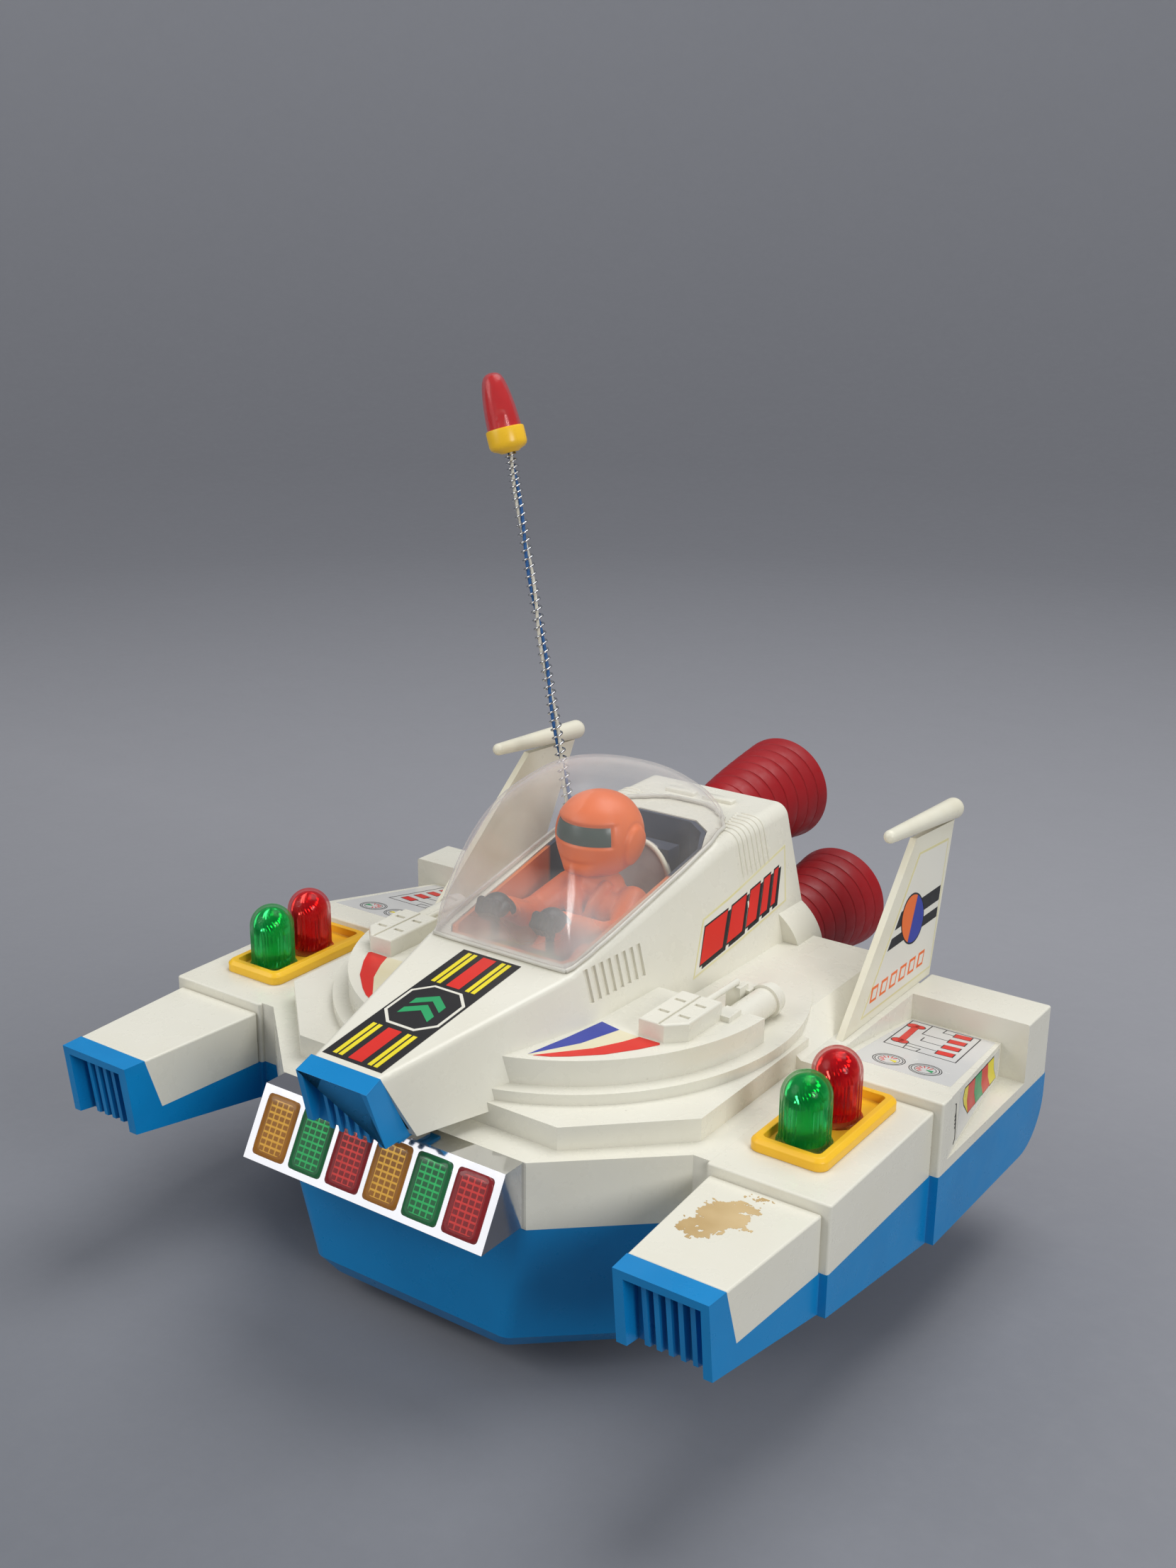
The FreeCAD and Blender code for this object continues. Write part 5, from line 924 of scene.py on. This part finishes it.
# ------------------------------------------------------------------ thrusters
def thruster(name):
    """A flared thruster of eight bulging rings with dark grooves between them."""
    low, high = corners(name)
    rear_wall, spigot, spigot_depth, collar, edge = 89.0, 8.6, 8.0, 10.4, 0.45
    length = high.y - rear_wall
    rings, root, mouth, wall = 8, 12.4, 22.4, 1.6
    pitch = length / rings
    sizes = [root + (mouth - root) * (index / rings) ** 0.64 for index in range(rings + 1)]
    rows = [(spigot, -spigot_depth), (collar, -spigot_depth), (collar, -0.2), (root - 0.6, 0.0)]
    for index in range(rings):
        small, large, start = sizes[index], sizes[index + 1], pitch * index
        rows += [(small - edge, start + 0.02 * pitch), (small + 0.10, start + 0.06 * pitch),
                 (small + 0.30, start + 0.14 * pitch), (small * 0.65 + large * 0.35 + 0.42, start + 0.40 * pitch),
                 (small * 0.3 + large * 0.7 + 0.42, start + 0.68 * pitch), (large + 0.30, start + 0.88 * pitch),
                 (large + 0.15, start + 0.95 * pitch), (large - edge, start + 0.985 * pitch)]
    rows[-2:] = [(mouth - 0.05, length - 0.5), (mouth - 0.35, length - 0.1)]
    rows += [(mouth - 0.9, length), (mouth - wall, length - 0.5)]
    for index in range(rings - 1, 0, -1):
        bore = sizes[index] - wall
        rows += [(bore + 0.55, pitch * index + 0.5), (bore - 0.05, pitch * index)]
    rows += [(root - wall, 2.0), (spigot, 0.5), (spigot, -spigot_depth)]
    points, faces = lathe(rows, 96)
    middle = Vector(((low.x + high.x) / 2, rear_wall, (low.z + high.z) / 2))
    place = Matrix.Translation(middle) @ Matrix.Rotation(math.radians(-90), 4, "X")
    made = piece(name + "_rings", moved(points, place), faces, "red_nozzle", "craft", "red_nozzle",
                 (name,))
    keep_creases(made, 38)


# ------------------------------------------------------------------ cabin details
def cabin_section(y, lift):
    """Places round the cabin from the right flank over the roof to the left, a little proud of the skin."""
    share = (y - 38.0) / (89.0 - 38.0)
    base, top_half = 46.0 + share, 34.5 - share
    top = rim_height(y)
    slope = (base - top_half) / (top - 94.7)
    low, corner, lean = 134.0, 6.0, math.atan(slope)
    reach = corner * math.tan((math.pi / 2 - lean) / 2)
    foot_z = top - reach * math.cos(lean)
    centre = Vector((top_half - reach, top - corner))
    path = []
    for step in range(6):
        z = low + (foot_z - low) * step / 5
        path.append((top_half + slope * (top - z) + lift, y, z))
    for step in range(1, 9):
        angle = lean + (math.pi / 2 - lean) * step / 8
        path.append((centre.x + (corner + lift) * math.cos(angle), y, centre.y + (corner + lift) * math.sin(angle)))
    path.append((centre.x - 4.0, y, top + lift))
    return path


def cabin_ribs():
    """Seven ribs over the cabin's shoulders, and small blocks and rivets on its roof."""
    ribs = []
    for index in range(7):
        y = 48.5 + index * 3.4
        path = cabin_section(y, 0.05)
        path[0] = (path[0][0] - 0.5, y, path[0][2] - 0.4)
        path.append((path[-1][0] - 1.0, y, path[-1][2] - 0.6))
        for sign in (-1, 1):
            ribs.append(tube([(sign * x, yy, z) for x, yy, z in path], 0.52, 8))
    piece("cabin_ribs", *gather(ribs), "white_shell", "craft", "white_shell")
    outline = rounded_box_outline(7.0, 2.1, 0.5, 3)
    blocks = [loft([[(x + u * narrow, 76.8 + v * short, z) for u, v in outline]
                    for narrow, short, z in ((1.0, 1.0, 152.0), (1.0, 1.0, 153.9), (0.92, 0.84, 154.3))])
              for x in (9.0, -9.0)]
    for index in range(9):
        x, y = 27.5 - 0.6 * index, 48.0 + 2.5 * index
        blocks += [ball((sign * x, y, 152.1 + 0.03 * index), (0.8, 0.55, 0.45), segments=10) for sign in (-1, 1)]
    keep_creases(piece("roof_blocks", *gather(blocks), "white_shell", "craft", "white_shell"), 40)


# ------------------------------------------------------------------ stickers
TREES = {}
SIDES = {False: "right", True: "left"}


def tree_of(name):
    if name not in TREES:
        mesh = NODES[name].data
        TREES[name] = BVHTree.FromPolygons([v.co for v in mesh.vertices], [tuple(p.vertices) for p in mesh.polygons])
    return TREES[name]


def frame_at(origin, across, up):
    across = Vector(across).normalized()
    normal = across.cross(Vector(up)).normalized()
    return Vector(origin), across, normal.cross(across), normal


def plate(outline, base, lift, target, flip, strips, thick=0.07):
    """One printed colour as a thin closed plate laid on a CAD face."""
    origin, across, up, normal = base
    above, reach = 12, 26
    made = bmesh.new()
    made.faces.new([made.verts.new((u, v, 0)) for u, v in outline])
    if strips:
        place, end = min(u for u, v in outline) + strips, max(u for u, v in outline)
        while place < end:
            geometry = made.verts[:] + made.edges[:] + made.faces[:]
            bmesh.ops.bisect_plane(made, geom=geometry, plane_co=(place, 0, 0), plane_no=(1, 0, 0))
            place += strips
    bmesh.ops.triangulate(made, faces=made.faces[:])
    made.verts.index_update()
    tree = tree_of(target)
    tops, bottoms = [], []
    for vert in made.verts:
        flat = origin + across * vert.co.x + up * vert.co.y
        place = tree.ray_cast((flat + normal * above) * MM, -normal, reach * MM)[0]
        place = Vector(place) / MM if place else flat
        tops.append(place + normal * (lift + thick))
        bottoms.append(place + normal * (lift - 0.10))
    count = len(tops)
    faces = [tuple(v.index for v in face.verts) for face in made.faces]
    faces += [tuple(v.index + count for v in reversed(face.verts)) for face in made.faces]
    for edge in made.edges:
        if len(edge.link_faces) == 1:
            a, b = edge.verts[0].index, edge.verts[1].index
            faces.append((b, a, a + count, b + count))
    made.free()
    points = tops + bottoms
    if flip:
        points = [Vector((-p.x, p.y, p.z)) for p in points]
    return points, faces


def sticker(name, base, layers, target="upper_shell", flip=False, strips=0.0):
    """A sticker of several printed colours, each layer a hair above the one before."""
    parts, marks, used = [], [], []
    for depth, (colour, outlines) in enumerate(layers):
        look = "decal_" + colour
        if look not in used:
            used.append(look)
        for outline in outlines:
            parts.append(plate(outline, base, 0.05 + 0.045 * depth, target, flip, strips))
            marks += [used.index(look)] * len(parts[-1][1])
    made_piece = piece(name, *gather(parts), used, smooth=False, marks=marks, tidy=False)
    with reshaped(made_piece.data) as made:
        bmesh.ops.recalc_face_normals(made, faces=made.faces)


def box(u0, u1, v0, v1):
    return [(u0, v0), (u1, v0), (u1, v1), (u0, v1)]


def line(points, width):
    """A thin printed line through points, one plate per run."""
    plates = []
    for (x0, y0), (x1, y1) in zip(points, points[1:]):
        run = Vector((x1 - x0, y1 - y0))
        side = Vector((-run.y, run.x)).normalized() * width / 2
        reach = run.normalized() * width / 2
        a, b = Vector((x0, y0)) - reach, Vector((x1, y1)) + reach
        plates.append([tuple(a - side), tuple(b - side), tuple(b + side), tuple(a + side)])
    return plates


def circle(u, v, radius, count=40, tall=1.0):
    return [(u + radius * math.cos(2 * math.pi * k / count), v + radius * tall * math.sin(2 * math.pi * k / count))
            for k in range(count)]


def ring(u, v, radius, width, count=48):
    """A printed circle line as short plates."""
    places = circle(u, v, radius, count)
    return line(places + places[:1], width)


def grown(outline, amount):
    """The outline moved outwards from its middle."""
    middle = sum((Vector(p) for p in outline), Vector((0, 0))) / len(outline)
    return [tuple(Vector(p) + (Vector(p) - middle).normalized() * amount) for p in outline]


def nose_strip():
    """Striped band along the nose with two plain chevrons in an octagon."""
    base = frame_at((0, -137.0, 118.7), (1, 0, 0), (0, 1, 0.1434))
    length, half = 75.2, 12.9
    yellow, red = [], []
    for start, end in ((1.6, 22.0), (52.5, 73.8)):
        red.append(box(-2.9, 2.9, start, end))
        for sign in (-1, 1):
            for near, far in ((5.5, 7.2), (8.0, 9.7)):
                low, high = sorted((sign * near, sign * far))
                yellow.append(box(low, high, start, end))
    middle = 37.4

    def octagon(reach_u, reach_v, cut):
        near_u, low, high = reach_u - cut, middle - reach_v, middle + reach_v
        return [(reach_u, low + cut), (reach_u, high - cut), (near_u, high), (-near_u, high), (-reach_u, high - cut),
                (-reach_u, low + cut), (-near_u, low), (near_u, low)]

    chevrons = []
    for offset in (-5.2, 1.2):
        v = middle + offset
        chevrons.append([(-6.6, v - 1.6), (0.0, v + 3.2), (0.0, v + 7.0), (-6.6, v + 2.2)])
        chevrons.append([(0.0, v + 3.2), (6.6, v - 1.6), (6.6, v + 2.2), (0.0, v + 7.0)])
    layers = [("black", [box(-half, half, 0, length)]), ("red", red), ("yellow", yellow),
              ("white", [octagon(12.0, 13.2, 6.0)]), ("black", [octagon(10.9, 12.1, 5.4)]), ("green", chevrons)]
    sticker("nose_strip", base, layers)


def cabin_sticker(flip):
    """Five slanting blocks on the cabin's flank."""
    base = frame_at((41.0, 6.0, 107.0), (-1.0, 71.0, 9.0), (-3, -0.126, 20))
    low, high = (0.0, 71.6), (14.4, 80.3)
    cream = [(low[0], 0.0), (low[1], 0.0), (high[1], 21.0), (high[0], 18.4)]
    inner = [(low[0] + 1.2, 0.8), (low[1] - 1.0, 0.8), (high[1] - 1.4, 20.1), (high[0] + 0.4, 17.6)]
    shadows, red, edge = [], [], []
    start, lean, gap = 5.0, 9.2, 2.2
    for width in (17.0, 12.5, 9.0, 6.5, 4.5):
        end = start + width
        bar = [(start, 2.6), (end, 2.6), (end + lean, 15.6), (start + lean, 15.6)]
        shadows.append([(u + 1.2, v - 1.2) for u, v in bar])
        edge.append(bar)
        red.append([(start + 0.75, 3.2), (end - 0.3, 3.2), (end + lean - 0.75, 15.0), (start + lean + 0.3, 15.0)])
        start = end + gap
    layers = [("yellowed", [cream]), ("white", [inner]), ("black", shadows + edge), ("red", red)]
    sticker("cabin_stripes_" + SIDES[flip], base, layers, flip=flip, strips=3.5)


def fin_sticker(flip):
    """Two-colour disc on two bars over a row of outlined dashes."""
    tilt = math.tan(math.radians(4.3))
    base = frame_at((99.3, 0, 93.2), (0, 1, 0), (-tilt, 0, 1))
    field = [(33.0, 3.0), (93.5, 3.0), (111.2, 52.0), (84.5, 53.5)]
    inner = [(34.6, 3.8), (92.8, 3.8), (110.2, 51.2), (85.0, 52.7)]

    def across_fin(v0, v1):
        """A band between two heights, cut off at the sticker's slanting edges."""
        def ends(v):
            share = v / 60.0
            return 30.6 + 63.8 * share * 0.98, 91.8 + 21.0 * share * 1.02
        a, b = ends(v0), ends(v1)
        return [(a[0] + 1.2, v0), (a[1] - 0.6, v0), (b[1] - 0.6, v1), (b[0] + 1.2, v1)]

    bands = [across_fin(22.6, 26.4), across_fin(29.0, 34.6)]
    u, v, radius = 77.6, 28.8, 10.2
    half_blue = [(u + radius * 0.93 * math.cos(a), v + radius * 0.93 * math.sin(a)) for a in
                 [math.radians(-120 + 180 * k / 24) for k in range(25)]]
    dashes = []
    for index in range(6):
        start = 40.0 + 8.1 * index
        dashes.append([(start, 7.0), (start + 5.4, 7.0), (start + 8.0, 12.4), (start + 2.6, 12.4)])
    hollow = [[(a + 1.45, 8.0), (b - 0.55, 8.0), (c - 1.45, 11.4), (d + 0.55, 11.4)] for
              (a, _), (b, _), (c, _), (d, _) in dashes]
    layers = [("yellowed", [field]), ("white", [inner]), ("black", bands + [circle(u, v, radius, 48)]),
              ("orange", [circle(u, v, radius * 0.93, 48)] + dashes), ("blue", [half_blue]), ("white", hollow)]
    sticker("fin_badge_" + SIDES[flip], base, layers, "fin_right", flip)


def panel_sticker(flip):
    """Instrument sticker: outlined chart and two dials on the panel, striped gauge on its side."""
    fall = 10.3 / 70.4
    base = frame_at((100.0, 0.0, 93.2 + 2.0 * fall), (1, 0, 0), (0, 1, -fall))
    field = [(5.5, 11.5), (45.4, 11.5), (38.0, 71.3), (3.4, 71.3)]
    chart = [(7.6, 36.8), (36.4, 36.8), (32.6, 69.8), (4.4, 69.8)]
    black = line(chart + chart[:1], 0.42)
    red = [circle(10.2, 43.6, 2.3), circle(12.4, 43.4, 1.9), circle(7.3, 64.0, 2.3), circle(9.9, 64.2, 1.9),
           [(9.8, 44.0), (12.6, 44.4), (10.0, 63.4), (7.4, 63.0)]]
    bone_edge = [grown(outline, 0.42) for outline in red]
    bars, bar_edges = [], []
    for index in range(4):
        u, v = 26.8 - 0.95 * index, 42.4 + 7.8 * index
        outline = [(u, v - 1.9), (u + 6.2, v - 1.1), (u + 5.7, v + 3.0), (u - 0.5, v + 2.2)]
        bars.append(outline)
        bar_edges.append(grown(outline, 0.5))
    branches = []
    for run in ([(15.4, 37.0), (14.4, 43.2), (25.6, 43.4)], [(15.0, 40.2), (20.8, 40.4), (20.6, 37.0)],
                [(26.0, 50.2), (16.6, 50.0), (16.2, 54.2)], [(24.8, 58.0), (13.8, 57.6), (12.8, 69.6)],
                [(24.0, 65.6), (19.0, 65.4), (18.8, 69.6)]):
        branches += line(run, 0.4)
    dials, ticks, needles = [], [], []
    for u, v in ((17.4, 20.6), (31.6, 21.0)):
        dials += ring(u, v, 5.9, 0.30) + ring(u, v, 5.1, 0.30) + ring(u, v, 3.9, 0.22)
        for step in range(7):
            angle = math.radians(60 + 30 * step)
            near = (u + 2.0 * math.cos(angle), v + 2.0 * math.sin(angle))
            far = (u + 3.3 * math.cos(angle), v + 3.3 * math.sin(angle))
            ticks += line([near, far], 0.38)
        needles.append([(u + 0.4, v - 0.3), (u + 3.2, v - 1.7), (u + 2.9, v + 0.4)])
    layers = [("silver", [field]), ("black", black + branches + dials + bar_edges + bone_edge),
              ("red", red + bars + ticks), ("yellow", needles[:1]), ("green", needles[1:])]
    sticker("dial_panel_" + SIDES[flip], base, layers, flip=flip)
    lean = 10.5 / 70.4
    base = frame_at((150.0 + 2.0 * lean, 0.0, 69.0), (-lean, 1, 0), (0, 0, 1))
    field = [(13.0, 2.0), (70.6, 2.0), (70.6, 12.6), (14.5, 20.6)]
    cuts = [(20.2, 20.2), (25.0, 26.6), (34.2, 37.2), (43.8, 47.8), (53.0, 58.4), (62.0, 67.6)]
    colours = ("yellow", "red", "green", "red", "yellow")
    stripes = []

    def gauge_low(u):
        return 13.0 if u < 21 else 7.0 - 0.115 * (u - 24.0)

    def gauge_high(u):
        return 19.2 - 0.150 * (u - 20.0)

    for index, colour in enumerate(colours):
        (a, b), (c, d) = cuts[index], cuts[index + 1]
        bow = 1.6
        middle_low = (gauge_low(b) + gauge_high(a)) / 2
        middle_high = (gauge_low(d) + gauge_high(c)) / 2
        outline = [(b, gauge_low(b)), (d, gauge_low(d)), ((c + d) / 2 - bow, middle_high), (c, gauge_high(c)),
                   (a, gauge_high(a)), ((a + b) / 2 - bow, middle_low)]
        stripes.append((colour, outline))
    edges = [grown(outline, 0.55) for colour, outline in stripes]
    comb = line([(8.6, 18.6), (9.6, 18.2), (11.0, 4.0), (9.4, 2.6)], 0.38)
    for step in range(4):
        comb += line([(9.9 + 0.25 * step, 14.6 - 1.6 * step), (8.7 + 0.25 * step, 13.6 - 1.6 * step)], 0.34)
    layers = [("silver", [field]), ("black", edges + comb)]
    for colour in ("yellow", "red", "green"):
        layers.append((colour, [outline for c, outline in stripes if c == colour]))
    sticker("side_gauge_" + SIDES[flip], base, layers, flip=flip, strips=6.0)


def platform_sticker(flip):
    """Three-colour wedge beside the nose, on the raised platform."""
    base = frame_at((0, 0, 111.5), (1, 0, 0), (0, 1, 0))
    tip = (34.2, -87.0)
    blue = [tip, (44.0, -69.8), (48.8, -53.4), (40.2, -51.6), (37.6, -69.0), (36.0, -77.0)]
    cream = [tip, (36.2, -86.6), (49.5, -70.7), (54.9, -60.7), (57.6, -54.0), (48.8, -53.4), (44.0, -69.8)]
    red = [(36.2, -86.6), (41.5, -84.0), (46.5, -80.2), (55.3, -71.9), (62.5, -61.8), (66.4, -54.8), (65.8, -53.8),
           (57.6, -54.0), (54.9, -60.7), (49.5, -70.7)]
    sticker("deck_flash_" + SIDES[flip], base, [("cream", [cream]), ("blue", [blue]), ("red", [red])], flip=flip)


def torn_sticker():
    """Glue and paper left where a sticker was pulled off the right pod's nose section."""
    cell = 0.42
    columns, rows = 56, 82
    origin = Vector((107.5, -116.5))

    def amount(u, v):
        x, y = u * cell, v * cell
        middle = Vector((x - 11.8, y - 17.5))
        along = middle.dot(Vector((0.35, 0.94)))
        beside = middle.dot(Vector((0.94, -0.35)))
        falloff = 1.0 - math.hypot(along / 15.5, beside / 8.6)
        ragged = mnoise.fractal(Vector((x * 0.16, y * 0.16, 3.7)), 0.75, 2.1, 5)
        return falloff + 0.62 * ragged

    points, faces, index_of = [], [], {}

    def corner(u, v):
        if (u, v) not in index_of:
            index_of[(u, v)] = len(points)
            points.append((origin.x + u * cell, origin.y + v * cell, 85.6 + 0.09))
        return index_of[(u, v)]

    for u in range(columns):
        for v in range(rows):
            if amount(u + 0.5, v + 0.5) > 0.12:
                faces.append((corner(u, v), corner(u + 1, v), corner(u + 1, v + 1), corner(u, v + 1)))
    made = piece("torn_sticker", points, faces, "glue_tan", smooth=False, tidy=False)
    thick = made.modifiers.new("thick", "SOLIDIFY")
    thick.thickness = 0.12 * MM
    thick.offset = -1


def backdrop_paper():
    """Grey-blue paper, with painted shade darkening the floor in front and painted light making the wall paler higher
    up.
    """
    material = plastic("backdrop_paper", (0.30, 0.308, 0.345), None, 0.85, peel=0.03)
    tree = material.node_tree
    coords = coordinates(tree)
    near = share_along(tree, coords, "Y", -0.50, 0.25)
    wall = share_along(tree, coords, "Z", 0.05, 0.8)
    fibres = mixed(tree, noise(tree, coords, 30.0, 6.0, 0.7), (0.95, 0.95, 0.95), (1.0, 1.0, 1.0))
    # Painted shade: the floor colour darkens towards the front.
    floor = mixed(tree, near, (0.11, 0.122, 0.143), (0.315, 0.318, 0.343))
    # Painted light: the colour grows paler up the wall.
    paper = mixed(tree, wall, floor, (0.61, 0.615, 0.645))
    tree.links.new(mixed(tree, 1.0, paper, fibres, "MULTIPLY"), tree.nodes["Principled BSDF"].inputs["Base Color"])
    return material


def studio_bowl():
    """Plain floor that curves up into a wall all round."""
    rows = [(0.01, 0.0)] + [(0.35 * k, 0.0) for k in range(1, 5)]
    rows += [(1.4 + 1.5 * math.sin(a), 1.5 - 1.5 * math.cos(a)) for a in [math.pi / 2 * k / 24 for k in range(1, 25)]]
    rows += [(2.9, 1.9)]
    columns = 96
    points, faces = lathe(rows, columns)
    faces.append(tuple(range(columns)))
    mesh = bpy.data.meshes.new("studio_bowl")
    mesh.from_pydata(points, [], faces)
    mesh.polygons.foreach_set("use_smooth", [True] * len(mesh.polygons))
    mesh.materials.append(backdrop_paper())
    bowl = bpy.data.objects.new("studio_bowl", mesh)
    SCENE.collection.objects.link(bowl)


make_camera()
make_studio()
dress_nodes()
studio_bowl()
for tone in ("green", "red"):
    for side in ("right", "left"):
        ribbed_dome("dome_" + tone + "_" + side, tone)
light_bar()
for engine in ("nozzle_upper", "nozzle_lower_left", "nozzle_lower_right"):
    thruster(engine)
canopy()
helmet()
driver()
seat_shell()
antenna()
antenna_lamp()
cabin_ribs()
nose_strip()
for mirrored_side in (False, True):
    cabin_sticker(mirrored_side)
    fin_sticker(mirrored_side)
    panel_sticker(mirrored_side)
    platform_sticker(mirrored_side)
torn_sticker()
